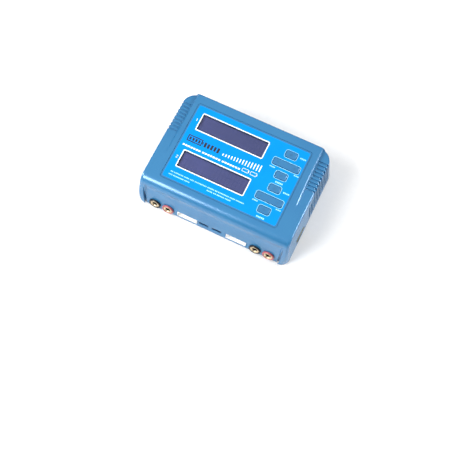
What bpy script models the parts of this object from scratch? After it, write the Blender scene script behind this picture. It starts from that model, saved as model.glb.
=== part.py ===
"""A two-channel balance battery charger, modelled as the separate pieces it is assembled from.

Every size and place below is in millimetres, and place() turns it into the metres of the scene.
+X is to the right and +Z up, the sockets face -Y, and the origin is under the middle of the case.
"""

from math import atan2, cos, pi, radians, sin, sqrt, tan

import bmesh
import bpy
from mathutils import Matrix, Vector

MM = 0.001
GAP = 0.3  # between pieces that touch in the real thing

# Case, outside
TOP_Z = 42.6
RIM_Z = 2.4  # lower edge of the case walls
EDGE_RADIUS = 1.4  # along the top of the side and back walls
SIDE_TOP = 72.6  # half width at the top edge
SIDE_BOTTOM = 75.9
BACK_TOP = 51.1
BACK_BOTTOM = 53.98
FRONT_BOTTOM = -53.6
FRONT_CORNER_HIGH = 2.6  # the front corners are tight above this height and open out below it
FRONT_CORNER_LOW = 8.0
FRONT_CORNER_Z = 24.0
BACK_CORNER = 13.0
NOSE_RADIUS = 8.7  # the rounded front of the top
NOSE_Y = -39.2
WALL = 2.2
CHAMFER = 1.0

# Sunken front panel, which leans back
PANEL_LEAN = radians(10)
PANEL_Y = -52.46
PANEL_Z = 2.65
PANEL_HALF = 66.3
CREASE_Z = 31.2

# Lowered wings along both sides, which carry the grooves
WING_X = 62.4
WING_FRONT = -15.6
WING_DROP = 3.8
GROOVE_PITCH = 3.65
GROOVE_COUNT = 9
GROOVE_FIRST = 8.9
GROOVE_WIDTH = 1.5
GROOVE_DEPTH = 1.0
VENT_COUNT = 12
VENT_FIRST = GROOVE_FIRST - 3 * GROOVE_PITCH
VENT_LOW = 7.0
VENT_HIGH = 32.0
VENT_DEEP_X = 66.0  # how far in the slots' cutters start
BACK_VENT_COUNT = 8
BACK_VENT_FIRST = 8.0
BACK_VENT_PITCH = 5.0
BACK_VENT_WIDTH = 2.0
BACK_VENT_Z = (12.0, 30.0)
BACK_OPEN_Y = 47.5
SIDE_OPEN_X = 68.0

# Hollow inside the case
CAVITY_TOP = 40.4
CAVITY_WING_TOP = 35.8
CAVITY_HALF_TOP = 60.0
PANEL_WALL = 2.0
OVERCUT = 3.0  # how far a cutter runs past the face it opens

# Label, displays and keys
LABEL = (-57.4, 55.4, -36.65, 42.0)
LABEL_TOP = 42.3
LABEL_THICK = 0.35
LABEL_RECESS = 0.8
LABEL_CORNER = 2.0
LABEL_GAP = 0.35  # from the label's edge to the wall of its seat
DISPLAY_X = -16.2
DISPLAY_Y = (25.9, -13.5)
WINDOW = (64.5, 16.0)
BEZEL = (71.2, 24.2)
DISPLAY_BOARD = (80.0, 36.0)
BOARD_TOP = 33.1  # top of the display boards and of the control board
BOARD_THICK = 1.5
KEY_X = 39.2
KEY_ROWS = (31.8, 20.7, 9.6, -3.8, -14.9, -26.0)
KEY_NAMES = (
    "key_stop_upper", "key_rocker_upper", "key_enter_upper",
    "key_stop_lower", "key_rocker_lower", "key_enter_lower",
)
SMALL_KEY = (10.5, 6.5)
WIDE_KEY = (25.0, 6.5)
KEY_CORNER = 1.3
KEY_CLEARANCE = 0.4
KEY_TOP = 43.0
KEY_PIVOT_Z = 39.5
ROCKER_STEM_X = 8.0
PLUNGER_TOP = 36.9

# Sockets on the front panel. "up" is measured along the panel from its lower edge
BANANA_UP = 6.2
BANANA_X = {"left_black": -57.2, "left_red": -43.8, "right_black": 43.8, "right_red": 57.2}
BANANA_FLANGE = 5.75
BANANA_BARREL = 3.9
BALANCE_X = {"left": -24.5, "right": 24.6}
BALANCE_SIZE = (20.0, 5.75)
BALANCE_UP = 5.7
BALANCE_PITCH = 2.5
BALANCE_PINS = 7
SENSOR_X = {"left": -7.9, "right": 5.2}
SENSOR_SIZE = (8.8, 2.6)
SENSOR_UP = 6.5
OUTPUT_BOARD_DEPTH = 7.0

# Power inlets
DC_Y = -22.1
DC_Z = 9.3
DC_SIZE = (15.9, 8.1)
DC_FACE = 75.4
DC_PIN_Y = 3.6  # from the inlet's middle
DC_PIN_RADIUS = 1.75
DC_PIN_LENGTH = 14.8
AC_X = -38.0
AC_Z = 18.0
AC_SIZE = (24.0, 18.0)
AC_FACE = 53.2
AC_PIN_SPOTS = ((-5.0, -2.2), (5.0, -2.2), (0.0, 3.4))

# Fan
FAN_SIZE = 30.0
FAN_DEPTH = 10.0
FAN_FACE = 69.6
FAN_Y = 18.2
FAN_Z = 20.2
FAN_BORE = 14.0
FAN_BLADES = 7

# Cover, feet, screws and boards
COVER_LOW = 1.3
COVER_TOP = 3.0
COVER_SLOT_COUNT = 9
COVER_SLOT_PITCH = 7.0
COVER_SLOT_WIDTH = 2.2
COVER_SLOT_Y = (-4.0, 20.0)
SCREW_SPOTS = ((-66.0, -35.0), (66.0, -35.0), (-64.0, 42.0), (64.0, 42.0))
FOOT_SPOTS = ((-56.0, -26.0), (56.0, -26.0), (-56.0, 34.0), (56.0, 34.0))
FOOT_RADIUS = 6.0
POWER_BOARD = (-59.0, 57.5, -38.0, 47.0)
POWER_BOARD_LOW = 6.7
POWER_BOARD_TOP = 8.3
PARTS_LOW = POWER_BOARD_TOP + GAP

COLOURS = {
    "case_blue": ((0.075, 0.255, 0.47), 0.32, 0.35),
    "label_azure": ((0.0, 0.36, 0.95), 0.35, 0.0),
    "window_clear": ((0.55, 0.6, 0.75), 0.08, 0.0),
    "display_violet": ((0.11, 0.13, 0.29), 0.15, 0.0),
    "bezel_black": ((0.012, 0.012, 0.014), 0.4, 0.2),
    "board_green": ((0.02, 0.16, 0.06), 0.45, 0.0),
    "black_plastic": ((0.015, 0.015, 0.017), 0.4, 0.0),
    "red_plastic": ((0.42, 0.02, 0.025), 0.35, 0.0),
    "white_nylon": ((0.8, 0.8, 0.77), 0.45, 0.0),
    "yellow_nylon": ((0.75, 0.46, 0.04), 0.4, 0.0),
    "gold": ((0.83, 0.6, 0.25), 0.25, 1.0),
    "tin": ((0.7, 0.7, 0.7), 0.3, 1.0),
    "steel": ((0.45, 0.45, 0.46), 0.35, 1.0),
    "aluminium": ((0.78, 0.79, 0.8), 0.35, 1.0),
    "rubber": ((0.02, 0.02, 0.02), 0.8, 0.0),
    "ferrite": ((0.05, 0.05, 0.055), 0.7, 0.0),
    "sleeve": ((0.02, 0.04, 0.12), 0.3, 0.0),
}

PANEL_FRAME = Matrix.Translation((0, PANEL_Y, PANEL_Z)) @ Matrix.Rotation(-PANEL_LEAN, 4, "X")
NOSE_Z = TOP_Z - NOSE_RADIUS
X_TO_Y_TO_Z = Matrix(((0, 0, 1, 0), (1, 0, 0, 0), (0, 1, 0, 0), (0, 0, 0, 1)))


# ---- scene, materials and objects ----

def clear_scene():
    for obj in list(bpy.data.objects):
        bpy.data.objects.remove(obj, do_unlink=True)


def new_collection(name):
    collection = bpy.data.collections.new(name)
    bpy.context.scene.collection.children.link(collection)
    return collection


def material(name):
    found = bpy.data.materials.get(name)
    if found:
        return found
    colour, roughness, metallic = COLOURS[name]
    made = bpy.data.materials.new(name)
    made.use_nodes = True
    shader = made.node_tree.nodes["Principled BSDF"]
    shader.inputs["Base Color"].default_value = (*colour, 1)
    shader.inputs["Roughness"].default_value = roughness
    shader.inputs["Metallic"].default_value = metallic
    made.diffuse_color = (*colour, 1)
    return made


def place(name, bm, colour, origin=(0, 0, 0), frame=Matrix.Identity(4)):
    """An object from a mesh in millimetres around its own origin. frame is where that space sits."""
    bmesh.ops.transform(bm, matrix=Matrix.Scale(MM, 4), verts=bm.verts)
    mesh = bpy.data.meshes.new(name)
    bm.to_mesh(mesh)
    bm.free()
    obj = bpy.data.objects.new(name, mesh)
    turned = frame @ Matrix.Translation(origin)
    turned.translation *= MM
    obj.matrix_world = turned
    if colour is None:
        CUTTERS.objects.link(obj)
        obj.hide_render = True
        obj.display_type = "WIRE"
    else:
        PARTS.objects.link(obj)
        mesh.materials.append(material(colour))
    return obj


def boolean(target, tool, operation):
    modifier = target.modifiers.new(tool.name, "BOOLEAN")
    modifier.operation = operation
    modifier.solver = "EXACT"
    modifier.object = tool


def carve(target, bm, name, origin=(0, 0, 0), frame=Matrix.Identity(4)):
    boolean(target, place(name, bm, None, origin, frame), "DIFFERENCE")


def fuse(target, bm, name, origin=(0, 0, 0), frame=Matrix.Identity(4)):
    boolean(target, place(name, bm, None, origin, frame), "UNION")


# ---- shapes, in millimetres ----

def add_block(bm, low, high):
    size = [b - a for a, b in zip(low, high)]
    middle = [(a + b) / 2 for a, b in zip(low, high)]
    bmesh.ops.create_cube(bm, size=1, matrix=Matrix.Translation(middle) @ Matrix.Diagonal((*size, 1)))


def add_rod(bm, start, end, radius, sides=16):
    start, end = Vector(start), Vector(end)
    along = end - start
    turn = along.to_track_quat("Z", "Y").to_matrix().to_4x4()
    bmesh.ops.create_cone(
        bm, cap_ends=True, segments=sides, radius1=radius, radius2=radius,
        depth=along.length, matrix=Matrix.Translation((start + end) / 2) @ turn,
    )


def block(low, high):
    bm = bmesh.new()
    add_block(bm, low, high)
    return bm


def rod(start, end, radius, sides=16):
    bm = bmesh.new()
    add_rod(bm, start, end, radius, sides)
    return bm


def rounded_box_outline(width, height, radius, middle=(0, 0), steps=3):
    """Points round a rectangle with round corners, turning left."""
    points = []
    for quarter in range(4):
        side_x = 1 if quarter in (0, 3) else -1
        side_y = 1 if quarter in (0, 1) else -1
        centre_x = middle[0] + side_x * (width / 2 - radius)
        centre_y = middle[1] + side_y * (height / 2 - radius)
        for step in range(steps + 1):
            angle = (quarter + step / steps) * pi / 2
            points.append((centre_x + radius * cos(angle), centre_y + radius * sin(angle)))
    return points


def evaluated(holder):
    """The mesh that a curve, or a mesh with a modifier, comes out as. Its object is removed."""
    graph = bpy.context.evaluated_depsgraph_get()
    mesh = bpy.data.meshes.new_from_object(holder.evaluated_get(graph))
    bm = bmesh.new()
    bm.from_mesh(mesh)
    bpy.data.objects.remove(holder)
    bpy.data.meshes.remove(mesh)
    bmesh.ops.remove_doubles(bm, verts=bm.verts, dist=1e-4)
    bmesh.ops.recalc_face_normals(bm, faces=bm.faces)
    return bm


def prism(outlines, low, high):
    """A flat shape given by its outlines, the holes included, standing from low to high."""
    curve = bpy.data.curves.new("outline", "CURVE")
    curve.dimensions = "2D"
    curve.fill_mode = "BOTH"
    curve.extrude = (high - low) / 2
    for outline in outlines:
        spline = curve.splines.new("POLY")
        spline.points.add(len(outline) - 1)
        for point, (x, y) in zip(spline.points, outline):
            point.co = (x, y, 0, 1)
        spline.use_cyclic_u = True
    holder = bpy.data.objects.new("outline", curve)
    CUTTERS.objects.link(holder)
    bm = evaluated(holder)
    bmesh.ops.translate(bm, verts=bm.verts, vec=(0, 0, (low + high) / 2))
    return bm


def turned(profile, sides=20):
    """A profile of (radius, height) points turned round Z. It is closed, apart from a side on the axis."""
    count = len(profile)
    sides_of_profile = [(index, (index + 1) % count) for index in range(count)]
    edges = [(a, b) for a, b in sides_of_profile if profile[a][0] or profile[b][0]]
    mesh = bpy.data.meshes.new("profile")
    mesh.from_pydata([(radius, 0, height) for radius, height in profile], edges, [])
    holder = bpy.data.objects.new("profile", mesh)
    CUTTERS.objects.link(holder)
    screw = holder.modifiers.new("turn", "SCREW")
    screw.axis = "Z"
    screw.steps = sides
    screw.render_steps = sides
    screw.use_merge_vertices = True
    screw.merge_threshold = 1e-4
    return evaluated(holder)


def stood(bm):
    """A flat shape turned so that its X, Y and Z become Y, Z and X."""
    bmesh.ops.transform(bm, matrix=X_TO_Y_TO_Z, verts=bm.verts)
    return bm


def turn_to(bm, direction):
    """Turns a shape that stands on Z so that it points along direction."""
    turn = Vector(direction).to_track_quat("Z", "Y").to_matrix().to_4x4()
    bmesh.ops.transform(bm, matrix=turn, verts=bm.verts)
    return bm


def plan_ring(half, front, back, front_radius, back_radius, z, steps=6):
    """The case's outline at one height: straight sides, and its own corner radius front and back."""
    corners = (
        (half - back_radius, back - back_radius, back_radius, 0),
        (back_radius - half, back - back_radius, back_radius, 1),
        (front_radius - half, front + front_radius, front_radius, 2),
        (half - front_radius, front + front_radius, front_radius, 3),
    )
    points = []
    for x, y, radius, quarter in corners:
        for step in range(steps + 1):
            angle = (quarter + step / steps) * pi / 2
            points.append(Vector((x + radius * cos(angle), y + radius * sin(angle), z)))
    return points


def loft(rings):
    """A closed solid through rings of the same number of points, lowest first."""
    bm = bmesh.new()
    rows = [[bm.verts.new(point) for point in ring] for ring in rings]
    for lower, upper in zip(rows, rows[1:]):
        for i in range(len(lower)):
            j = (i + 1) % len(lower)
            bm.faces.new((lower[i], lower[j], upper[j], upper[i]))
    bm.faces.new(reversed(rows[0]))
    bm.faces.new(rows[-1])
    return bm


def key_size(row):
    return WIDE_KEY if row % 3 == 1 else SMALL_KEY


# ---- the case's surfaces ----

def front_lean():
    """The lean of the front cheeks, which run from the nose down to the front's lower edge."""
    drop = NOSE_Z - RIM_Z
    reach = NOSE_Y - FRONT_BOTTOM
    return atan2(reach, drop) - atan2(NOSE_RADIUS, sqrt(reach**2 + drop**2 - NOSE_RADIUS**2))


def side_at(z):
    rise = (TOP_Z - EDGE_RADIUS - z) / (TOP_Z - EDGE_RADIUS - RIM_Z - CHAMFER)
    return SIDE_TOP + (SIDE_BOTTOM - SIDE_TOP) * rise


def back_at(z):
    rise = (TOP_Z - EDGE_RADIUS - z) / (TOP_Z - EDGE_RADIUS - RIM_Z - CHAMFER)
    return BACK_TOP + (BACK_BOTTOM - BACK_TOP) * rise


def front_at(z):
    lean = front_lean()
    tangent_z = NOSE_Z + NOSE_RADIUS * sin(lean)
    if z >= tangent_z:
        return NOSE_Y - sqrt(max(NOSE_RADIUS**2 - (z - NOSE_Z) ** 2, 0))
    return FRONT_BOTTOM + (z - RIM_Z) * tan(lean)


def front_corner(z):
    low_share = min(max((FRONT_CORNER_Z - z) / (FRONT_CORNER_Z - RIM_Z), 0), 1)
    return FRONT_CORNER_HIGH + (FRONT_CORNER_LOW - FRONT_CORNER_HIGH) * low_share**2


def panel_at(z):
    return PANEL_Y + (z - PANEL_Z) * tan(PANEL_LEAN)


def edge_inset(z):
    """How far the rounded top edge has pulled in at this height."""
    rise = max(z - (TOP_Z - EDGE_RADIUS), 0)
    return EDGE_RADIUS - sqrt(max(EDGE_RADIUS**2 - rise**2, 0))


def case_ring(z, inset):
    return plan_ring(side_at(z) - inset, front_at(z), back_at(z) - inset, front_corner(z), BACK_CORNER, z)


def case_outside():
    chamfer_z = RIM_Z + CHAMFER
    lowest = [Vector((point.x, point.y, RIM_Z)) for point in case_ring(chamfer_z, CHAMFER)]
    cheek_heights = [chamfer_z, 8.0, 14.0, FRONT_CORNER_Z, NOSE_Z + NOSE_RADIUS * sin(front_lean())]
    nose_heights = [NOSE_Z + NOSE_RADIUS * cos(radians(angle)) for angle in (75, 60, 45, 30, 15, 0)]
    return loft([lowest] + [case_ring(z, edge_inset(z)) for z in cheek_heights + nose_heights])


def cavity_ring(half, z, shrink=0.0):
    front = panel_at(z) + PANEL_WALL / cos(PANEL_LEAN)
    if z > NOSE_Z:
        roof_radius = NOSE_RADIUS - WALL
        behind_nose = NOSE_Y - sqrt(max(roof_radius**2 - (z - NOSE_Z) ** 2, 0))
        front = max(front, behind_nose)
    front += shrink
    back = back_at(min(z, TOP_Z - EDGE_RADIUS)) - WALL - shrink
    return plan_ring(half, front, back, 7.0, BACK_CORNER - WALL, z, steps=4)


def case_cavity():
    rings = [
        cavity_ring(side_at(z) - WALL, z) for z in (RIM_Z - 1.5, NOSE_Z, CAVITY_WING_TOP)
    ]
    rings.append(cavity_ring(CAVITY_HALF_TOP, CAVITY_WING_TOP, shrink=0.5))
    rings += [cavity_ring(CAVITY_HALF_TOP, z, shrink=0.5) for z in (38.6, CAVITY_TOP)]
    return loft(rings)


def panel_recess():
    """What is cut away in front of the leaning panel, with slanted ends."""
    far, low = FRONT_BOTTOM - 2 * OVERCUT, RIM_Z - OVERCUT
    crease_angle = atan2(CREASE_Z - NOSE_Z, panel_at(CREASE_Z) - NOSE_Y)
    profile = [(far, low), (panel_at(low), low)]
    for step in range(4):
        angle = -pi + (crease_angle + pi) * (1 - step / 3)
        profile.append((NOSE_Y + NOSE_RADIUS * cos(angle), NOSE_Z + NOSE_RADIUS * sin(angle)))
    profile.append((far, NOSE_Z))
    recess = place("cut_panel_recess", stood(prism([profile], -SIDE_BOTTOM, SIDE_BOTTOM)), None)
    reach = 12.0
    wide = PANEL_HALF + reach
    low, high = -10.0, TOP_Z + OVERCUT
    ends = [(-PANEL_HALF, 0), (PANEL_HALF, 0), (wide, -reach), (-wide, -reach)]
    wedge = place("cut_panel_ends", prism([ends], low, high), None, frame=PANEL_FRAME)
    behind = block((-PANEL_HALF, -0.1, low), (PANEL_HALF, 2 * OVERCUT, high))
    fuse(wedge, behind, "cut_panel_behind", frame=PANEL_FRAME)
    boolean(recess, wedge, "INTERSECT")
    return recess


def wing_cut(side):
    """The wedge taken off along one side: flush at its front end, and deepest at the back."""
    far_x, far_y = SIDE_BOTTOM + OVERCUT, BACK_BOTTOM + OVERCUT
    corner = 4.0
    corner_y = BACK_TOP - EDGE_RADIUS - corner
    outline = [(WING_X, WING_FRONT), (far_x, WING_FRONT), (far_x, far_y), (WING_X - corner, far_y)]
    for step in range(5):
        angle = (1 - step / 4) * pi / 2
        outline.append((WING_X - corner + corner * cos(angle), corner_y + corner * sin(angle)))
    bm = prism([[(side * x, y) for x, y in outline]], 0, 1)
    for vert in bm.verts:
        vert.co.z = wing_surface(vert.co.y) if vert.co.z < 0.5 else TOP_Z + OVERCUT
    bmesh.ops.recalc_face_normals(bm, faces=bm.faces)
    return bm


def wing_surface(y):
    return TOP_Z - WING_DROP / (BACK_TOP - WING_FRONT) * (y - WING_FRONT)


# ---- case pieces ----

def roof_posts():
    """Posts under the roof that the display boards and the control board are screwed to."""
    spots = []
    for middle in DISPLAY_Y:
        for side_x in (-1, 1):
            for side_y in (-1, 1):
                x = DISPLAY_X + side_x * (DISPLAY_BOARD[0] / 2 - 2.2)
                spots.append((x, middle + side_y * (DISPLAY_BOARD[1] / 2 - 2.6)))
    spots += [(27.5, -33.0), (52.5, -33.0), (27.5, 35.8), (52.5, 35.8)]
    bm = bmesh.new()
    for x, y in spots:
        add_rod(bm, (x, y, BOARD_TOP + GAP), (x, y, CAVITY_TOP + 0.8), 1.6, 8)
    for x, y in SCREW_SPOTS:
        add_rod(bm, (x, y, COVER_TOP + 2.3), (x, y, CAVITY_WING_TOP + 0.8), 3.6, 12)
    return bm


def top_openings():
    """The window and key openings, which stop inside the label's seat."""
    sizes = [(DISPLAY_X, y, WINDOW, 0.1) for y in DISPLAY_Y]
    sizes += [(KEY_X, y, key_size(row), KEY_CLEARANCE) for row, y in enumerate(KEY_ROWS)]
    bm = bmesh.new()
    for x, y, (width, height), clear in sizes:
        half_x, half_y = width / 2 + clear, height / 2 + clear
        add_block(bm, (x - half_x, y - half_y, CAVITY_TOP - 1), (x + half_x, y + half_y, TOP_Z - 0.1))
    return bm


def grooves():
    """Finger grooves across the outer part of both wings."""
    bm = bmesh.new()
    for side in (-1, 1):
        inner, outer = sorted((side * (WING_X + 1.2), side * (SIDE_BOTTOM + OVERCUT)))
        for index in range(GROOVE_COUNT):
            y = GROOVE_FIRST + index * GROOVE_PITCH
            low = wing_surface(y) - GROOVE_DEPTH
            add_block(bm, (inner, y - GROOVE_WIDTH / 2, low), (outer, y + GROOVE_WIDTH / 2, TOP_Z + OVERCUT))
    return bm


def vents():
    """Slots through both side walls, below the grooves, and a row of slots in the back wall."""
    bm = bmesh.new()
    for side in (-1, 1):
        inner, outer = sorted((side * VENT_DEEP_X, side * (SIDE_BOTTOM + OVERCUT)))
        for index in range(VENT_COUNT):
            y = VENT_FIRST + index * GROOVE_PITCH
            add_block(bm, (inner, y - GROOVE_WIDTH / 2, VENT_LOW), (outer, y + GROOVE_WIDTH / 2, VENT_HIGH))
    low_z, high_z = BACK_VENT_Z
    for index in range(BACK_VENT_COUNT):
        x = BACK_VENT_FIRST + index * BACK_VENT_PITCH
        half = BACK_VENT_WIDTH / 2
        add_block(bm, (x - half, BACK_OPEN_Y, low_z), (x + half, BACK_BOTTOM + OVERCUT, high_z))
    return bm


def panel_openings():
    """Holes for the sockets, in the panel's own frame."""
    deep = 5.0
    bm = bmesh.new()
    for x in BANANA_X.values():
        add_rod(bm, (x, -OVERCUT, BANANA_UP), (x, deep, BANANA_UP), BANANA_BARREL + GAP, 20)
    slots = [(x, BALANCE_UP, BALANCE_SIZE) for x in BALANCE_X.values()]
    slots += [(x, SENSOR_UP, SENSOR_SIZE) for x in SENSOR_X.values()]
    for x, up, (width, height) in slots:
        half_x, half_up = width / 2 + GAP, height / 2 + GAP
        add_block(bm, (x - half_x, -OVERCUT, up - half_up), (x + half_x, deep, up + half_up))
    return bm


def inlet_openings():
    bm = bmesh.new()
    half_y, half_z = DC_SIZE[0] / 2 + GAP, DC_SIZE[1] / 2 + GAP
    outer = SIDE_BOTTOM + OVERCUT
    add_block(bm, (SIDE_OPEN_X, DC_Y - half_y, DC_Z - half_z), (outer, DC_Y + half_y, DC_Z + half_z))
    half_x, half_z = AC_SIZE[0] / 2 + GAP, AC_SIZE[1] / 2 + GAP
    outer = BACK_BOTTOM + OVERCUT
    add_block(bm, (AC_X - half_x, BACK_OPEN_Y, AC_Z - half_z), (AC_X + half_x, outer, AC_Z + half_z))
    return bm


def screw_pilots():
    bm = bmesh.new()
    for x, y in SCREW_SPOTS:
        add_rod(bm, (x, y, COVER_TOP), (x, y, 16.0), 1.35, 10)
    return bm


def make_top_shell():
    shell = place("top_shell", case_outside(), "case_blue")
    carve(shell, case_cavity(), "cut_cavity")
    fuse(shell, roof_posts(), "add_posts")
    boolean(shell, panel_recess(), "DIFFERENCE")
    carve(shell, wing_cut(-1), "cut_wing_left")
    carve(shell, wing_cut(1), "cut_wing_right")
    low_x, high_x, low_y, high_y = LABEL
    middle = ((low_x + high_x) / 2, (low_y + high_y) / 2)
    width, height = high_x - low_x + 2 * LABEL_GAP, high_y - low_y + 2 * LABEL_GAP
    seat = rounded_box_outline(width, height, LABEL_CORNER + LABEL_GAP, middle)
    carve(shell, prism([seat], TOP_Z - LABEL_RECESS, TOP_Z + OVERCUT), "cut_label_seat")
    carve(shell, top_openings(), "cut_top_openings")
    carve(shell, grooves(), "cut_grooves")
    carve(shell, vents(), "cut_vents")
    carve(shell, panel_openings(), "cut_panel_openings", frame=PANEL_FRAME)
    carve(shell, inlet_openings(), "cut_inlets")
    carve(shell, screw_pilots(), "cut_pilots")


def make_bottom_cover():
    seam = WALL + 0.4

    def ring(z, shrink):
        half = side_at(COVER_TOP) - seam - shrink
        front = panel_at(COVER_TOP) + seam - 0.2 + shrink
        back = back_at(COVER_TOP) - seam - shrink
        return plan_ring(half, front, back, 6.6, BACK_CORNER - seam, z, steps=4)

    rings = [ring(COVER_LOW, 0.8), ring(COVER_LOW + 0.8, 0), ring(COVER_TOP, 0)]
    cover = place("bottom_cover", loft(rings), "black_plastic")
    raised = bmesh.new()
    for x, y in SCREW_SPOTS:
        add_rod(raised, (x, y, COVER_TOP - 0.5), (x, y, COVER_TOP + 2.0), 4.4, 12)
    low_x, high_x, low_y, high_y = POWER_BOARD
    for x in (low_x + 9, high_x - 9):
        for y in (low_y + 8, high_y - 8):
            add_rod(raised, (x, y, COVER_TOP - 0.5), (x, y, POWER_BOARD_LOW - GAP), 2.5, 8)
    fuse(cover, raised, "add_cover_bosses")
    wide = bmesh.new()
    for x, y in SCREW_SPOTS:
        add_rod(wide, (x, y, COVER_LOW - 1), (x, y, COVER_LOW + 2.3), 3.2, 12)
    for x, y in FOOT_SPOTS:
        add_rod(wide, (x, y, COVER_LOW - 1), (x, y, COVER_LOW + 0.7), FOOT_RADIUS + GAP, 20)
    for index in range(COVER_SLOT_COUNT):
        x = (index - (COVER_SLOT_COUNT - 1) / 2) * COVER_SLOT_PITCH
        half = COVER_SLOT_WIDTH / 2
        low_slot, high_slot = COVER_SLOT_Y
        add_block(wide, (x - half, low_slot, COVER_LOW - 1), (x + half, high_slot, COVER_TOP + 1))
    carve(cover, wide, "cut_cover_pockets")
    narrow = bmesh.new()
    for x, y in SCREW_SPOTS:
        add_rod(narrow, (x, y, COVER_LOW), (x, y, COVER_TOP + 3), 1.7, 12)
    carve(cover, narrow, "cut_cover_holes")


def make_feet_and_screws():
    for number, (x, y) in enumerate(FOOT_SPOTS, 1):
        foot = turned([(0, 0), (FOOT_RADIUS - 0.5, 0), (FOOT_RADIUS, 0.5), (FOOT_RADIUS, 1.7), (0, 1.7)])
        place(f"foot_{number}", foot, "rubber", (x, y, 0))
    head = [(0, 0), (2.2, 0), (2.8, 0.5), (2.8, 1.6), (1.05, 1.6), (1.05, 11.5), (0, 11.5)]
    for number, (x, y) in enumerate(SCREW_SPOTS, 1):
        place(f"case_screw_{number}", turned(head, 12), "steel", (x, y, COVER_LOW + 0.4))


# ---- label, displays and keys ----

def make_label():
    low_x, high_x, low_y, high_y = LABEL
    middle = ((low_x + high_x) / 2, (low_y + high_y) / 2)
    outlines = [rounded_box_outline(high_x - low_x, high_y - low_y, LABEL_CORNER, middle)]
    for y in DISPLAY_Y:
        outlines.append(rounded_box_outline(WINDOW[0] + 0.3, WINDOW[1] + 0.3, 0.6, (DISPLAY_X, y), 2))
    for row, y in enumerate(KEY_ROWS):
        width, height = key_size(row)
        clear = 2 * KEY_CLEARANCE
        outlines.append(rounded_box_outline(width + clear, height + clear, KEY_CORNER, (KEY_X, y), 2))
    place("label_overlay", prism(outlines, LABEL_TOP - LABEL_THICK, LABEL_TOP), "label_azure")


def make_displays():
    for name, y in zip(("upper", "lower"), DISPLAY_Y):
        pane = rounded_box_outline(WINDOW[0], WINDOW[1], 0.5, steps=2)
        window = prism([pane], -LABEL_THICK / 2, LABEL_THICK / 2)
        place(f"display_window_{name}", window, "window_clear", (DISPLAY_X, y, LABEL_TOP - LABEL_THICK / 2))
        module = block(
            (-DISPLAY_BOARD[0] / 2, -DISPLAY_BOARD[1] / 2, -BOARD_THICK),
            (DISPLAY_BOARD[0] / 2, DISPLAY_BOARD[1] / 2, 0),
        )
        origin = (DISPLAY_X, y, BOARD_TOP)
        board = place(f"display_module_{name}", module, "bezel_black", origin)
        half_x, half_y = BEZEL[0] / 2, BEZEL[1] / 2
        fuse(board, block((-half_x, -half_y, -0.2), (half_x, half_y, 7.0)), f"add_bezel_{name}", origin)
        half_x, half_y = WINDOW[0] / 2 + 0.2, WINDOW[1] / 2 + 0.2
        carve(board, block((-half_x, -half_y, 4.9), (half_x, half_y, 9)), f"cut_bezel_{name}", origin)
        glass = block((-WINDOW[0] / 2, -WINDOW[1] / 2, -0.75), (WINDOW[0] / 2, WINDOW[1] / 2, 0.75))
        place(f"display_glass_{name}", glass, "display_violet", (DISPLAY_X, y, BOARD_TOP + 5.95))


def make_control_board():
    board = block((25.5, -35.4, BOARD_TOP - BOARD_THICK), (55.0, 38.2, BOARD_TOP))
    place("control_board", board, "board_green")


def make_small_key(name, y):
    origin = (KEY_X, y, KEY_PIVOT_Z)
    cap = prism([rounded_box_outline(*SMALL_KEY, KEY_CORNER)], 0.4, KEY_TOP - KEY_PIVOT_Z)
    key = place(name, cap, "case_blue", origin)
    skirt = block((-6.3, -4.3, -0.6), (6.3, 4.3, 0.6))
    fuse(key, skirt, f"add_skirt_{name}", origin)
    stem = block((-1.5, -1.5, PLUNGER_TOP + 0.6 - KEY_PIVOT_Z), (1.5, 1.5, 0))
    fuse(key, stem, f"add_stem_{name}", origin)
    make_switch(f"switch_{name[4:]}", KEY_X, y)


def make_rocker_key(name, y):
    origin = (KEY_X, y, KEY_PIVOT_Z)
    cap = prism([rounded_box_outline(*WIDE_KEY, KEY_CORNER)], -0.5, KEY_TOP - KEY_PIVOT_Z)
    key = place(name, cap, "case_blue", origin)
    fuse(key, block((-3.0, -4.3, -0.6), (3.0, 4.3, 0.5)), f"add_skirt_{name}", origin)
    stems = bmesh.new()
    for side in (-1, 1):
        x = side * ROCKER_STEM_X
        add_block(stems, (x - 1.5, -1.5, PLUNGER_TOP + 0.45 - KEY_PIVOT_Z), (x + 1.5, 1.5, 0))
    fuse(key, stems, f"add_stems_{name}", origin)
    for side, sign in (("minus", -1), ("plus", 1)):
        make_switch(f"switch_{side}_{name[11:]}", KEY_X + sign * ROCKER_STEM_X, y)


def make_switch(name, x, y):
    origin = (x, y, BOARD_TOP + GAP)
    switch = place(name, block((-3, -3, 0), (3, 3, 2.6)), "bezel_black", origin)
    fuse(switch, rod((0, 0, 2.0), (0, 0, PLUNGER_TOP - BOARD_TOP - GAP), 1.6, 10), f"add_{name}", origin)


def make_keys():
    for row, (name, y) in enumerate(zip(KEY_NAMES, KEY_ROWS)):
        if row % 3 == 1:
            make_rocker_key(name, y)
        else:
            make_small_key(name, y)


# ---- sockets on the front panel, in the panel's own frame: X, depth inwards, up ----

def make_banana_sockets():
    body = [
        (BANANA_BARREL, GAP), (BANANA_FLANGE, GAP), (BANANA_FLANGE, 1.3), (BANANA_FLANGE - 0.4, 1.7),
        (3.6, 1.7), (3.6, 0.7), (2.9, 0.7), (2.9, -6.5), (BANANA_BARREL, -6.5),
    ]
    sleeve = [
        (0, -12), (2.6, -12), (2.6, 1.0), (3.3, 1.0),
        (3.3, 1.8), (2.05, 1.8), (2.05, -10.5), (0, -10.5),
    ]
    for name, x in BANANA_X.items():
        colour = "red_plastic" if "red" in name else "black_plastic"
        origin = (x, 0, BANANA_UP)
        place(f"banana_body_{name}", turn_to(turned(body, 24), (0, -1, 0)), colour, origin, PANEL_FRAME)
        place(f"banana_contact_{name}", turn_to(turned(sleeve, 16), (0, -1, 0)), "gold", origin, PANEL_FRAME)


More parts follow.
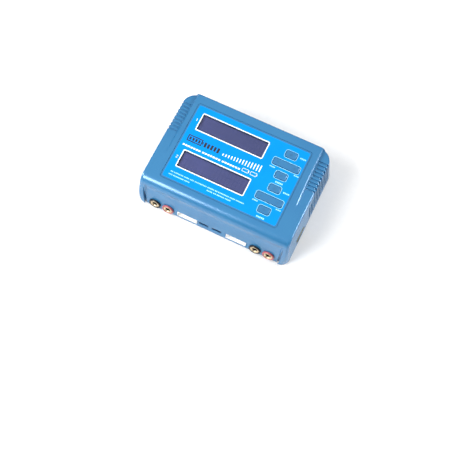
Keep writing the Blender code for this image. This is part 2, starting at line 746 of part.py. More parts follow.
def make_balance_ports():
    half_x, half_up = BALANCE_SIZE[0] / 2, BALANCE_SIZE[1] / 2
    comb_half = BALANCE_PITCH * (BALANCE_PINS - 1) / 2
    for name, x in BALANCE_X.items():
        origin = (x, 0, BALANCE_UP)
        shell = block((-half_x, -0.4, -half_up), (half_x, OUTPUT_BOARD_DEPTH - GAP, half_up))
        port = place(f"balance_port_{name}", shell, "white_nylon", origin, PANEL_FRAME)
        hollow = bmesh.new()
        add_block(hollow, (0.8 - half_x, -1, 0.75 - half_up), (half_x - 0.8, 5.3, half_up - 0.75))
        carve(port, hollow, f"cut_port_{name}", origin, PANEL_FRAME)
        notch = block((3.0 - half_x, -1, 0), (4.6 - half_x, 2.6, half_up + 1))
        carve(port, notch, f"cut_notch_{name}", origin, PANEL_FRAME)
        slot = block((-comb_half - 0.7, 4, -0.7), (comb_half + 0.7, 8, 0.7))
        carve(port, slot, f"cut_slot_{name}", origin, PANEL_FRAME)
        bar = block((-comb_half - 0.6, 9.0, -0.4), (comb_half + 0.6, 9.8, 0.4))
        comb = place(f"balance_pins_{name}", bar, "tin", origin, PANEL_FRAME)
        pins = bmesh.new()
        for index in range(BALANCE_PINS):
            pin_x = index * BALANCE_PITCH - comb_half
            add_block(pins, (pin_x - 0.32, 1.2, -0.32), (pin_x + 0.32, 9.4, 0.32))
        fuse(comb, pins, f"add_pins_{name}", origin, PANEL_FRAME)


def make_sensor_ports():
    half_x, half_up = SENSOR_SIZE[0] / 2, SENSOR_SIZE[1] / 2
    for name, x in SENSOR_X.items():
        origin = (x, 0, SENSOR_UP)
        shell = block((-half_x, 0.4, -half_up), (half_x, OUTPUT_BOARD_DEPTH - GAP, half_up))
        port = place(f"sensor_port_{name}", shell, "black_plastic", origin, PANEL_FRAME)
        hollow = block((0.6 - half_x, -1, 0.5 - half_up), (half_x - 0.6, 5.0, half_up - 0.5))
        carve(port, hollow, f"cut_sensor_{name}", origin, PANEL_FRAME)


def make_output_board():
    board = place(
        "output_board", block((-64, OUTPUT_BOARD_DEPTH, 2.3), (64, OUTPUT_BOARD_DEPTH + 1.6, 19.0)),
        "board_green", frame=PANEL_FRAME,
    )
    holes = bmesh.new()
    for x in BANANA_X.values():
        add_rod(holes, (x, 5, BANANA_UP), (x, 11, BANANA_UP), 2.9, 16)
    comb_half = BALANCE_PITCH * (BALANCE_PINS - 1) / 2 + 0.7
    for x in BALANCE_X.values():
        add_block(holes, (x - comb_half, 5, BALANCE_UP - 0.7), (x + comb_half, 11, BALANCE_UP + 0.7))
    carve(board, holes, "cut_output_board", frame=PANEL_FRAME)


# ---- inlets on the side and back walls ----

def make_dc_inlet():
    width, height = DC_SIZE
    cut = 2.4

    def outline(inset):
        half_y, half_z = width / 2 - inset, height / 2 - inset
        return [
            (-half_y, -half_z), (half_y - cut, -half_z), (half_y, cut - half_z),
            (half_y, half_z - cut), (half_y - cut, half_z), (-half_y, half_z),
        ]

    origin = (DC_FACE, DC_Y, DC_Z)
    body = place("dc_inlet_body", stood(prism([outline(0)], -14.5, 0)), "yellow_nylon", origin)
    carve(body, stood(prism([outline(1.2)], -11.0, 1)), "cut_dc_hollow", origin)
    holes = bmesh.new()
    for side in (-1, 1):
        y = side * DC_PIN_Y
        add_rod(holes, (-16, y, 0), (-10, y, 0), DC_PIN_RADIUS + GAP, 12)
    carve(body, holes, "cut_dc_pins", origin)
    profile = [
        (0, 0), (DC_PIN_RADIUS, 0), (DC_PIN_RADIUS, DC_PIN_LENGTH - 0.6),
        (DC_PIN_RADIUS - 0.55, DC_PIN_LENGTH), (0, DC_PIN_LENGTH),
    ]
    for name, side in (("minus", -1), ("plus", 1)):
        pin = turn_to(turned(profile, 12), (1, 0, 0))
        place(f"dc_inlet_pin_{name}", pin, "gold", (DC_FACE - 16.3, DC_Y + side * DC_PIN_Y, DC_Z))


def make_ac_inlet():
    half_x, half_z = AC_SIZE[0] / 2, AC_SIZE[1] / 2
    origin = (AC_X, AC_FACE, AC_Z)
    housing = block((-half_x, -15.6, -half_z), (half_x, 0, half_z))
    body = place("ac_inlet_body", housing, "black_plastic", origin)
    for number, (x, z) in enumerate(AC_PIN_SPOTS):
        carve(body, rod((x, -12, z), (x, 1, z), 4.2, 16), f"cut_ac_lobe_{number}", origin)
    holes = bmesh.new()
    for x, z in AC_PIN_SPOTS:
        add_rod(holes, (x, -17, z), (x, -11, z), 1.5, 10)
    carve(body, holes, "cut_ac_pins", origin)
    plate = block((-7, -17.1, -4.2), (7, -15.9, 5.4))
    pins = place("ac_inlet_pins", plate, "tin", origin)
    rods = bmesh.new()
    for x, z in AC_PIN_SPOTS:
        add_rod(rods, (x, -16.5, z), (x, -3.0, z), 1.2, 10)
    fuse(pins, rods, "add_ac_pins", origin)


# ---- fan ----

def fan_blade(index):
    """One flat blade, pitched and then turned to its place round the hub."""
    blade = block((-3.6, -0.45, 6.0), (3.6, 0.45, FAN_BORE - 0.6))
    pitched = Matrix.Rotation(radians(42), 3, "Z")
    turn = Matrix.Rotation(2 * pi * index / FAN_BLADES, 3, "X")
    bmesh.ops.rotate(blade, verts=blade.verts, cent=(0, 0, 0), matrix=turn @ pitched)
    return blade


def make_fan():
    half = FAN_SIZE / 2
    deep = FAN_DEPTH / 2
    plate = 1.4  # thickness of the motor mount and its struts
    origin = (FAN_FACE - deep, FAN_Y, FAN_Z)
    frame = place("fan_frame", block((-deep, -half, -half), (deep, half, half)), "black_plastic", origin)
    carve(frame, rod((-deep - 1, 0, 0), (deep + 1, 0, 0), FAN_BORE, 28), "cut_fan_bore", origin)
    fuse(frame, rod((-deep, 0, 0), (plate - deep, 0, 0), 6.4, 20), "add_fan_mount", origin)
    for number in range(2):
        strut = block((-deep, -FAN_BORE - 0.5, -0.8), (plate - deep, FAN_BORE + 0.5, 0.8))
        turn = Matrix.Rotation(pi / 4 + number * pi / 2, 3, "X")
        bmesh.ops.rotate(strut, verts=strut.verts, cent=(0, 0, 0), matrix=turn)
        fuse(frame, strut, f"add_fan_strut_{number}", origin)
    hub = rod((plate + 0.5 - deep, 0, 0), (deep - 0.6, 0, 0), 6.8, 20)
    rotor = place("fan_rotor", hub, "black_plastic", origin)
    for index in range(FAN_BLADES):
        fuse(rotor, fan_blade(index), f"add_blade_{index}", origin)


# ---- power board and what stands on it ----

def make_power_board():
    low_x, high_x, low_y, high_y = POWER_BOARD
    board = block((low_x, low_y, POWER_BOARD_LOW), (high_x, high_y, POWER_BOARD_TOP))
    place("power_board", board, "board_green")


def make_heat_sink():
    """An extruded comb: a base plate with fins standing on it, open towards the fan."""
    pitch, thick, fins, tall, base = 5.0, 1.4, 7, 22.0, 3.0
    half = pitch * (fins - 1) / 2 + thick / 2
    outline = [(half, 0), (half, tall)]
    for index in range(fins - 1):
        y = half - thick - index * pitch
        outline += [(y, tall), (y, base), (y - pitch + thick, base), (y - pitch + thick, tall)]
    outline += [(-half, tall), (-half, 0)]
    place("heat_sink", stood(prism([outline], -16.0, 16.0)), "aluminium", (38.0, FAN_Y, PARTS_LOW))


def make_transformer():
    origin = (-12.0, 20.0, PARTS_LOW)
    core = place("transformer", block((-15, -6, 0), (15, 6, 21.5)), "ferrite", origin)
    fuse(core, block((-10, -11, 2), (10, 11, 19)), "add_coil", origin)


def make_capacitors_and_inductor():
    can = [
        (0, 0), (7.6, 0), (8.0, 0.6), (8.0, 1.8), (7.6, 2.4),
        (8.0, 3.0), (8.0, 21.0), (7.4, 21.8), (0, 21.8),
    ]
    for number, (x, y) in enumerate(((-46.0, -12.0), (-46.0, 8.0)), 1):
        place(f"capacitor_{number}", turned(can, 18), "sleeve", (x, y, PARTS_LOW))
    ring = turned([(6.0 + 2.6 * cos(a), 5.0 + 3.6 * sin(a)) for a in [k * pi / 4 for k in range(8)]], 18)
    place("inductor", ring, "ferrite", (-14.0, -20.0, PARTS_LOW))


clear_scene()
PARTS = new_collection("balance_battery_charger")
CUTTERS = new_collection("cutters")
CUTTERS.hide_render = True
make_top_shell()
make_bottom_cover()
make_feet_and_screws()
make_label()
make_displays()
make_control_board()
make_keys()
make_banana_sockets()
make_balance_ports()
make_sensor_ports()
make_output_board()
make_dc_inlet()
make_ac_inlet()
make_fan()
make_power_board()
make_heat_sink()
make_transformer()
make_capacitors_and_inductor()
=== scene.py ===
"""The looks of the balance battery charger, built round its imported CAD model.

Shapes are built in millimetres along the CAD model's own axes (+X right, +Z up, the sockets facing -Y),
and piece() turns them into metres. Places come from the CAD nodes' boxes where a node has one.
"""

from math import atan2, cos, pi, radians, sin, sqrt, tan

import bmesh
import bpy
from mathutils import Matrix, Vector


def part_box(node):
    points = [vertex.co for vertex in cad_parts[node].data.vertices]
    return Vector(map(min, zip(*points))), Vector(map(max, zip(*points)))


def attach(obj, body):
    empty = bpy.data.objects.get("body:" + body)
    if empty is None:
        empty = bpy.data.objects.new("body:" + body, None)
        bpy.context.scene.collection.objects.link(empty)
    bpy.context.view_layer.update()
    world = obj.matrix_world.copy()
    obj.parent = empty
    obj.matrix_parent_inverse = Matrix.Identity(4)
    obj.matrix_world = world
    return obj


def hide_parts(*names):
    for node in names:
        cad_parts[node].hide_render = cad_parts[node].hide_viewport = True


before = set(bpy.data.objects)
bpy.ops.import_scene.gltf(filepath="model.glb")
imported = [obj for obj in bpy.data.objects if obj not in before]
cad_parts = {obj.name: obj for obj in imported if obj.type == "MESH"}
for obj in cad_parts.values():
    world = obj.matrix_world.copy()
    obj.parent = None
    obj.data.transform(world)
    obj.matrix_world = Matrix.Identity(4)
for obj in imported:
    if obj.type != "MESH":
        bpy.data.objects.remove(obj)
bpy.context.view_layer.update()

MM = 0.001


def box_mm(node):
    low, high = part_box(node)
    return low / MM, high / MM


def middle_mm(node):
    low, high = box_mm(node)
    return (low + high) / 2


# ---- driving dimensions, in millimetres ----

SHELL_LOW, SHELL_HIGH = box_mm("top_shell")
RIM_Z = SHELL_LOW.z
TOP_Z = SHELL_HIGH.z
SIDE_BOTTOM = SHELL_HIGH.x
BACK_BOTTOM = SHELL_HIGH.y
SIDE_TOP = SIDE_BOTTOM - 3.3
BACK_TOP = BACK_BOTTOM - 2.88
FRONT_BOTTOM = -53.6
FRONT_CORNER_HIGH = 2.6  # the front corners are tight above this height and open out below it
FRONT_CORNER_LOW = 8.0
FRONT_CORNER_Z = 24.0
BACK_CORNER = 13.0
EDGE_RADIUS = 1.4
RIM_RADIUS = 1.0
WALL = 2.2
WALL_RINGS = (5.5, 8.0, 11.0, 14.0, 17.5, 21.0, FRONT_CORNER_Z)  # heights
BELOW_NOSE = 4.0  # from the nose's middle down to the last ring under it
OVERCUT = 3.0  # how far a cutting tool reaches past the top, front or panel
BEYOND_WALL = 4.0  # the same for the side and back walls
INSIDE_X, INSIDE_Y, INSIDE_Z = 68.0, 48.0, 39.0  # where the cuts through the walls and top begin

NOSE_RADIUS = 8.7
NOSE_Y = -39.2
NOSE_Z = TOP_Z - NOSE_RADIUS

PANEL_LEAN = radians(10)
PANEL_Y = -52.46
PANEL_Z = 2.65
PANEL_HALF = 66.3
PANEL_WALL = 2.0
CREASE_Z = 31.2
CREASE_FILLET = 3.4
PANEL_FRAME = Matrix.Translation((0, PANEL_Y, PANEL_Z)) @ Matrix.Rotation(-PANEL_LEAN, 4, "X")

WING_X = 62.4
WING_FRONT = -15.6
WING_SLOPE = 3.8 / (BACK_TOP - WING_FRONT)
RIDGE_HALF = 0.8
RIDGE_LINES = 9
RIDGE_ROUNDNESS = 0.95  # 1 would end the shoulder upright
RIDGE_TURN_Y = 43.5  # where the ridge starts to curl towards the back edge
RIDGE_CURL = 4.2
RIDGE_ANGLE = 69.0  # where the ridge meets the back corner, in degrees round it from the side
RIDGE_SPREAD = 8.5
BEHIND_RIDGE = (81, 85.5, 90)  # the rest of the back corner, in degrees

GROOVE_PITCH = 3.65
GROOVE_COUNT = 9
GROOVE_FIRST = 8.9
GROOVE_WIDTH = 1.7
GROOVE_DEPTH = 1.25
GROOVE_START = 1.3  # how far outside the ridge's line a groove begins
GROOVE_ROUND = 1.3
VENT_COUNT = 12
VENT_FIRST = GROOVE_FIRST - 3 * GROOVE_PITCH
VENT_LOW = 7.0
VENT_HIGH = 32.0
VENT_INNER_X = 67.0
VENT_REACH = 12.0
FAN_SLOT_COUNT = 8
FAN_SLOT_FIRST = 8.0
FAN_SLOT_PITCH = 5.0
FAN_SLOT_Z = 21.0

LABEL_LOW, LABEL_HIGH = box_mm("label_overlay")
LABEL_TOP = LABEL_HIGH.z
LABEL_BORDER = 1.35  # casing-blue edge round the azure field
INK = 0.02  # thickness of one layer of print
KEY_CLEARANCE = 0.4
WIDE_KEY = (25.0, 6.5)
SMALL_KEY = (10.5, 6.5)
ROCKER_END = 8.0  # from a rocker's middle to its stems and signs
SEAT_GAP = 0.35
SEAT_DEPTH = 0.8

KEY_NODES = [
    f"key_{kind}_{row}" for row in ("upper", "lower") for kind in ("stop", "rocker", "enter")
]
WINDOW_NODES = ("display_window_upper", "display_window_lower")
BALANCE_PITCH = 2.5
BALANCE_PINS = 7
BANANA_UP = 6.2
BALANCE_UP = 5.7
SENSOR_UP = 6.5


# ---- meshes ----

WELD = 1e-5  # distance, in millimetres, under which a new shape's points are one
SAME_POINT = 2e-3  # the same for points left close together by a cut
SAME_PLANE = radians(0.4)
NO_AREA = 1e-9
MOST_REACH = 0.45  # how far a rounded corner may reach along each of its sides
SHARP_SHADING = radians(32)


def mesh_of(name, bm):
    """A mesh made from the bmesh, which is used up."""
    mesh = bpy.data.meshes.new(name)
    bm.to_mesh(mesh)
    bm.free()
    return mesh


def in_scene(name, data):
    obj = bpy.data.objects.new(name, data)
    bpy.context.scene.collection.objects.link(obj)
    return obj


def evaluated(obj):
    """The object's mesh with its modifiers applied, as a bmesh. The object is used up."""
    graph = bpy.context.evaluated_depsgraph_get()
    mesh = bpy.data.meshes.new_from_object(obj.evaluated_get(graph))
    bm = bmesh.new()
    bm.from_mesh(mesh)
    bpy.data.meshes.remove(mesh)
    bpy.data.objects.remove(obj)
    return bm


def combined(bm, tool, operation="DIFFERENCE"):
    """bm with tool cut from it or joined to it. Both are used up."""
    target = in_scene("tool", mesh_of("tool", bm))
    other = in_scene("tool", mesh_of("tool", tool))
    modifier = target.modifiers.new("cut", "BOOLEAN")
    modifier.operation = operation
    modifier.solver = "EXACT"
    modifier.object = other
    made = evaluated(target)
    bpy.data.objects.remove(other)
    return made


def softened(bm, width, segments=2, sharp=30):
    """Clears away leftovers of earlier cuts and rounds the edges over sharp degrees."""
    bmesh.ops.remove_doubles(bm, verts=bm.verts, dist=SAME_POINT)
    bmesh.ops.dissolve_limit(bm, angle_limit=SAME_PLANE, verts=bm.verts, edges=bm.edges)
    edges = [
        edge for edge in bm.edges
        if len(edge.link_faces) == 2 and edge.calc_face_angle(0) > radians(sharp)
    ]
    return bevelled(bm, edges, width, segments, clamp=False)


def bevelled(bm, edges, width, segments, clamp):
    bmesh.ops.bevel(
        bm, geom=edges, offset=width, offset_type="OFFSET", segments=segments, profile=0.5,
        affect="EDGES", clamp_overlap=clamp,
    )
    return bm


def moved(bm, matrix):
    bmesh.ops.transform(bm, matrix=matrix, verts=bm.verts)
    return bm


def block(low, high):
    size = [b - a for a, b in zip(low, high)]
    middle = [(a + b) / 2 for a, b in zip(low, high)]
    bm = bmesh.new()
    bmesh.ops.create_cube(bm, size=1, matrix=Matrix.Translation(middle) @ Matrix.Diagonal((*size, 1)))
    return bm


def rounded_block(low, high, radius):
    bm = block(low, high)
    return bevelled(bm, list(bm.edges), radius, 3, clamp=True)


def rod(start, end, radius, sides=32):
    """A round bar from start to end."""
    start, end = Vector(start), Vector(end)
    along = end - start
    turn = along.to_track_quat("Z", "Y").to_matrix().to_4x4()
    bm = bmesh.new()
    bmesh.ops.create_cone(
        bm, cap_ends=True, segments=sides, radius1=radius, radius2=radius,
        depth=along.length, matrix=Matrix.Translation((start + end) / 2) @ turn,
    )
    return bm


def rounded_outline(width, height, radius, middle=(0, 0), steps=8):
    """Points round a rectangle with round corners, turning left."""
    points = []
    for quarter, (side_x, side_y) in enumerate(((1, 1), (-1, 1), (-1, -1), (1, -1))):
        centre_x = middle[0] + side_x * (width / 2 - radius)
        centre_y = middle[1] + side_y * (height / 2 - radius)
        for step in range(steps + 1):
            angle = (quarter + step / steps) * pi / 2
            points.append((centre_x + radius * cos(angle), centre_y + radius * sin(angle)))
    return points


def prism(outlines, low, high):
    """Flat shapes given by their outlines, holes included, standing from low to high."""
    curve = bpy.data.curves.new("outline", "CURVE")
    curve.dimensions = "2D"
    curve.fill_mode = "BOTH"
    curve.extrude = (high - low) / 2
    for outline in outlines:
        spline = curve.splines.new("POLY")
        spline.points.add(len(outline) - 1)
        for point, (x, y) in zip(spline.points, outline):
            point.co = (x, y, 0, 1)
        spline.use_cyclic_u = True
    bm = evaluated(in_scene("outline", curve))
    bpy.data.curves.remove(curve)
    bmesh.ops.remove_doubles(bm, verts=bm.verts, dist=WELD)
    bmesh.ops.recalc_face_normals(bm, faces=bm.faces)
    return moved(bm, Matrix.Translation((0, 0, (low + high) / 2)))


def slab(points, along):
    """A polygon in space pushed along a vector."""
    bm = bmesh.new()
    face = bm.faces.new([bm.verts.new(point) for point in points])
    pushed = bmesh.ops.extrude_face_region(bm, geom=[face])
    verts = [item for item in pushed["geom"] if isinstance(item, bmesh.types.BMVert)]
    bmesh.ops.translate(bm, verts=verts, vec=along)
    bmesh.ops.recalc_face_normals(bm, faces=bm.faces)
    return bm


def bridged(bm, rows):
    """Walls between each ring of vertices and the next one."""
    for lower, upper in zip(rows, rows[1:]):
        for i in range(len(lower)):
            j = (i + 1) % len(lower)
            bm.faces.new((lower[i], lower[j], upper[j], upper[i]))


def loft(rings):
    """A closed skin over rings of points, lowest first, with both ends capped."""
    bm = bmesh.new()
    rows = [[bm.verts.new(point) for point in ring] for ring in rings]
    bridged(bm, rows)
    bm.faces.new(reversed(rows[0]))
    bm.faces.new(rows[-1])
    return bm


def turned(profile, sides):
    """A closed profile of (radius, height) points spun round Z."""
    bm = bmesh.new()
    loop = [bm.verts.new((radius, 0, height)) for radius, height in profile]
    edges = [bm.edges.new((a, b)) for a, b in zip(loop, loop[1:] + loop[:1])]
    bmesh.ops.spin(
        bm, geom=loop + edges, cent=(0, 0, 0), axis=(0, 0, 1), angle=2 * pi,
        steps=sides, use_merge=True,
    )
    bmesh.ops.remove_doubles(bm, verts=bm.verts, dist=WELD)
    flat = [face for face in bm.faces if face.calc_area() < NO_AREA]
    bmesh.ops.delete(bm, geom=flat, context="FACES")
    bare = [edge for edge in bm.edges if not edge.link_faces]
    bmesh.ops.delete(bm, geom=bare, context="EDGES")
    bmesh.ops.recalc_face_normals(bm, faces=bm.faces)
    return bm


def rounded_profile(corners, radius, steps=4):
    """A profile whose corners are rounded, except those on the axis."""
    points = []
    count = len(corners)
    for index, corner in enumerate(corners):
        here = Vector(corner)
        before = Vector(corners[index - 1])
        after = Vector(corners[(index + 1) % count])
        if here.x == 0:
            points.append(tuple(here))
            continue
        reach = min(radius, (before - here).length * MOST_REACH, (after - here).length * MOST_REACH)
        start = here + (before - here).normalized() * reach
        end = here + (after - here).normalized() * reach
        points += [tuple(curved(start, here, end, step / steps)) for step in range(steps + 1)]
    return points


def curved(start, pull, end, t):
    """A point on the curve from start to end that pull draws towards itself."""
    return start * (1 - t) ** 2 + pull * 2 * t * (1 - t) + end * t * t


def piece(name, bm, colour, stands_for, body="case"):
    """A finished piece from a bmesh in millimetres, riding on a body. Its one slot holds its colour's look.
    """
    mesh = mesh_of(name, moved(bm, Matrix.Scale(MM, 4)))
    mesh.materials.append(LOOKS[colour])
    mesh.shade_smooth()
    mesh.set_sharp_from_angle(angle=SHARP_SHADING)
    obj = in_scene(name, mesh)
    weighted = obj.modifiers.new("normals", "WEIGHTED_NORMAL")
    weighted.keep_sharp = True
    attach(obj, body)
    if stands_for:
        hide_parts(*stands_for)


# ---- materials ----

def srgb(red, green, blue):
    """A linear colour from the usual 0 to 255 values."""
    return tuple(
        value / 255 / 12.92 if value <= 10 else ((value / 255 + 0.055) / 1.055) ** 2.4
        for value in (red, green, blue)
    )


def fill(node, **sockets):
    """Sets a node's sockets. A _ in a name stands for the space in the socket's own name."""
    for socket, value in sockets.items():
        node.inputs[socket.replace("_", " ")].default_value = value


def new_look(name, colour, roughness, metallic=0.0, **sockets):
    look = bpy.data.materials.new(name)
    look.use_nodes = True
    shader = look.node_tree.nodes["Principled BSDF"]
    fill(shader, Base_Color=(*colour, 1), Roughness=roughness, Metallic=metallic, **sockets)
    look.diffuse_color = (*colour, 1)
    return look


def add_node(look, kind, **values):
    node = look.node_tree.nodes.new(kind)
    for key, value in values.items():
        setattr(node, key, value)
    return node


def link(look, output, target):
    look.node_tree.links.new(output, target)


def noise(look, scale, detail, roughness=0.5, stretch=(1, 1, 1)):
    """A noise pattern fixed to the object, with features about 1/scale metres across."""
    place = add_node(look, "ShaderNodeTexCoord")
    mapping = add_node(look, "ShaderNodeMapping")
    fill(mapping, Scale=stretch)
    pattern = add_node(look, "ShaderNodeTexNoise")
    fill(pattern, Scale=scale, Detail=detail, Roughness=roughness)
    link(look, place.outputs["Object"], mapping.inputs["Vector"])
    link(look, mapping.outputs["Vector"], pattern.inputs["Vector"])
    return pattern.outputs["Fac"]


def ranged(look, fac, low, high, start=0.3, end=0.7):
    """fac from start to end, as a value from low to high."""
    node = add_node(look, "ShaderNodeMapRange")
    fill(node, From_Min=start, From_Max=end, To_Min=low, To_Max=high)
    link(look, fac, node.inputs["Value"])
    return node.outputs["Result"]


def mixed(look, fac, first, second):
    """A colour between first and second. Each is three numbers or an output."""
    node = add_node(look, "ShaderNodeMix", data_type="RGBA")
    if isinstance(fac, float):
        node.inputs["Factor"].default_value = fac
    else:
        link(look, fac, node.inputs["Factor"])
    for socket, value in ((node.inputs[6], first), (node.inputs[7], second)):
        if isinstance(value, tuple):
            socket.default_value = (*value, 1)
        else:
            link(look, value, socket)
    return node.outputs[2]


def shade(look, socket, output):
    link(look, output, look.node_tree.nodes["Principled BSDF"].inputs[socket])


def bump(look, height, distance):
    node = add_node(look, "ShaderNodeBump")
    fill(node, Strength=1.0, Distance=distance)
    link(look, height, node.inputs["Height"])
    shade(look, "Normal", node.outputs["Normal"])


def plastic(name, colour, roughness, grain=1500, depth=0.00002):
    """Moulded plastic: a fine grain, slow colour changes and a slightly uneven gloss."""
    look = new_look(name, colour, roughness)
    spread = 0.08
    lighter = tuple(min(value * 1.12 + 0.002, 1) for value in colour)
    darker = tuple(value * 0.9 for value in colour)
    slow = noise(look, 45, 2)
    shade(look, "Base Color", mixed(look, ranged(look, slow, 0, 1), darker, lighter))
    uneven = noise(look, 160, 4)
    shade(look, "Roughness", ranged(look, uneven, roughness - spread / 2, roughness + spread))
    bump(look, noise(look, grain, 4), depth)
    return look


def make_case_blue():
    """Plastic with a fine metallic pigment, which gives it a soft satin gloss."""
    look = new_look("case_blue_pearl", srgb(45, 115, 163), 0.25, metallic=0.12, Specular_IOR_Level=0.7)
    flakes = ranged(look, noise(look, 5200, 2), 0, 1, 0.35, 0.65)
    slow = ranged(look, noise(look, 28, 2), 0, 1)
    cloudy = mixed(look, slow, srgb(43, 112, 161), srgb(48, 118, 165))
    faint = ranged(look, flakes, 0, 0.07, 0, 1)
    shade(look, "Base Color", mixed(look, faint, cloudy, srgb(96, 158, 200)))
    shade(look, "Roughness", ranged(look, noise(look, 220, 4), 0.23, 0.27))
    bump(look, noise(look, 2600, 3), 0.000004)
    return look


def make_label_blue():
    look = new_look("label_azure_print", srgb(0, 136, 225), 0.42, Specular_IOR_Level=0.12)
    slow = ranged(look, noise(look, 60, 3), 0, 1)
    shade(look, "Base Color", mixed(look, slow, srgb(0, 134, 222), srgb(2, 139, 229)))
    shade(look, "Roughness", ranged(look, noise(look, 420, 4), 0.38, 0.48))
    bump(look, noise(look, 3600, 2), 0.000008)
    return look


def make_metal(name, colour, roughness):
    """Plated or drawn metal, with fine streaks across its length."""
    look = new_look(name, colour, roughness, metallic=1.0)
    scale = 420
    brushed = (1, 1, 14)
    streaks = noise(look, scale, 4, 0.6, brushed)
    darker = tuple(value * 0.82 for value in colour)
    shade(look, "Base Color", mixed(look, ranged(look, streaks, 0, 1), darker, colour))
    shade(look, "Roughness", ranged(look, streaks, roughness * 0.8, roughness * 1.4))
    bump(look, noise(look, scale * 3, 3, 0.5, brushed), 0.000006)
    return look


def make_lcd():
    """An unlit display: a violet polariser over two rows of faint character cells."""
    look = new_look("lcd_violet", srgb(96, 103, 150), 0.16, Specular_IOR_Level=0.4)
    place = add_node(look, "ShaderNodeTexCoord")
    cells = add_node(look, "ShaderNodeTexBrick", offset=0.0, squash=1.0)
    white, black = (1, 1, 1, 1), (0, 0, 0, 1)
    fill(
        cells, Color1=white, Color2=white, Mortar=black, Scale=1.0, Mortar_Size=0.00028,
        Mortar_Smooth=0.2, Brick_Width=0.00355, Row_Height=0.00595,
    )
    link(look, place.outputs["Object"], cells.inputs["Vector"])
    slow = ranged(look, noise(look, 30, 2), 0, 1)
    ground = mixed(look, slow, srgb(98, 108, 164), srgb(108, 116, 176))
    inside_cell = ranged(look, cells.outputs["Color"], 0, 1, 0, 1)
    grid = mixed(look, inside_cell, srgb(94, 104, 160), srgb(106, 116, 174))
    shade(look, "Base Color", mixed(look, 0.5, ground, grid))
    shade(look, "Roughness", ranged(look, noise(look, 300, 3), 0.13, 0.2))
    return look


def make_clear():
    """A thin clear window: nearly all see-through, with a faint gloss."""
    look = bpy.data.materials.new("window_clear_film")
    look.use_nodes = True
    tree = look.node_tree
    tree.nodes.clear()
    output = add_node(look, "ShaderNodeOutputMaterial")
    through = add_node(look, "ShaderNodeBsdfTransparent")
    fill(through, Color=(0.94, 0.94, 0.97, 1))
    gloss = add_node(look, "ShaderNodeBsdfPrincipled")
    fill(gloss, Base_Color=(0.5, 0.52, 0.6, 1))
    link(look, ranged(look, noise(look, 500, 3), 0.06, 0.14), gloss.inputs["Roughness"])
    angle = add_node(look, "ShaderNodeFresnel")
    fill(angle, IOR=1.35)
    blend = add_node(look, "ShaderNodeMixShader")
    link(look, angle.outputs["Fac"], blend.inputs["Fac"])
    link(look, through.outputs["BSDF"], blend.inputs[1])
    link(look, gloss.outputs["BSDF"], blend.inputs[2])
    link(look, blend.outputs["Shader"], output.inputs["Surface"])
    look.diffuse_color = (0.5, 0.5, 0.6, 0.2)
    return look


def make_board():
    """Circuit board: solder mask with the shadow of its copper pattern."""
    look = new_look("board_solder_mask", srgb(24, 92, 52), 0.4)
    place = add_node(look, "ShaderNodeTexCoord")
    tracks = add_node(look, "ShaderNodeTexVoronoi", distance="MANHATTAN", feature="F1")
    fill(tracks, Scale=260)
    link(look, place.outputs["Object"], tracks.inputs["Vector"])
    copper = ranged(look, tracks.outputs["Distance"], 0, 1, 0.35, 0.42)
    shade(look, "Base Color", mixed(look, copper, srgb(20, 84, 46), srgb(44, 122, 66)))
    bump(look, copper, 0.00003)
    return look


def make_ink(name, colour, roughness):
    return plastic(name, colour, roughness, grain=3000, depth=0.000004)


def make_floor_look():
    look = new_look("floor_paper", (0.87, 0.87, 0.87), 0.9)
    fibres = ranged(look, noise(look, 260, 4), 0, 1)
    shade(look, "Base Color", mixed(look, fibres, (0.86, 0.86, 0.86), (0.88, 0.88, 0.88)))
    bump(look, noise(look, 900, 3), 0.00002)
    return look


LOOKS = {
    "case_blue": make_case_blue(),
    "label_azure": make_label_blue(),
    "window_clear": make_clear(),
    "display_violet": make_lcd(),
    "bezel_black": plastic("bezel_black_metal", srgb(26, 26, 29), 0.42),
    "board_green": make_board(),
    "black_plastic": plastic("black_moulded", srgb(22, 22, 24), 0.42, grain=1800, depth=0.00003),
    "red_plastic": plastic("red_moulded", srgb(176, 92, 98), 0.34),
    "white_nylon": plastic("white_nylon_moulded", srgb(250, 250, 248), 0.42),
    # painted shade: the DC inlet's yellow nylon is darkened to olive, standing for the shade it sits in
    "yellow_nylon": plastic("yellow_nylon_painted_shade", srgb(120, 104, 42), 0.38),
    "gold": make_metal("gold_plated", srgb(236, 214, 178), 0.32),
    "tin": make_metal("tin_plated", srgb(206, 206, 204), 0.26),
    "steel": make_metal("steel_plated", srgb(150, 150, 152), 0.32),
    "aluminium": make_metal("aluminium_extruded", srgb(208, 210, 212), 0.34),
    "rubber": plastic("rubber_foot", srgb(30, 30, 31), 0.78, grain=2600, depth=0.00004),
    "ferrite": plastic("ferrite_core", srgb(52, 52, 55), 0.7, grain=2200, depth=0.00004),
    "sleeve": plastic("capacitor_sleeve", srgb(28, 42, 88), 0.3),
    "navy_plastic": plastic("navy_moulded", srgb(20, 44, 78), 0.4),
    "ink_white": make_ink("ink_white", srgb(252, 252, 252), 0.4),
    "ink_pale": make_ink("ink_pale_blue", srgb(158, 222, 250), 0.42),
    "ink_black": make_ink("ink_black", srgb(34, 40, 48), 0.4),
    "ink_mark": make_ink("ink_key_mark", srgb(28, 88, 128), 0.45),
}


# ---- the case's surfaces ----

def front_lean():
    drop = NOSE_Z - RIM_Z
    reach = NOSE_Y - FRONT_BOTTOM
    return atan2(reach, drop) - atan2(NOSE_RADIUS, sqrt(reach**2 + drop**2 - NOSE_RADIUS**2))


def rise_share(z):
    return (TOP_Z - EDGE_RADIUS - z) / (TOP_Z - EDGE_RADIUS - RIM_Z - RIM_RADIUS)


def side_at(z):
    return SIDE_TOP + (SIDE_BOTTOM - SIDE_TOP) * rise_share(z)


def back_at(z):
    return BACK_TOP + (BACK_BOTTOM - BACK_TOP) * rise_share(z)


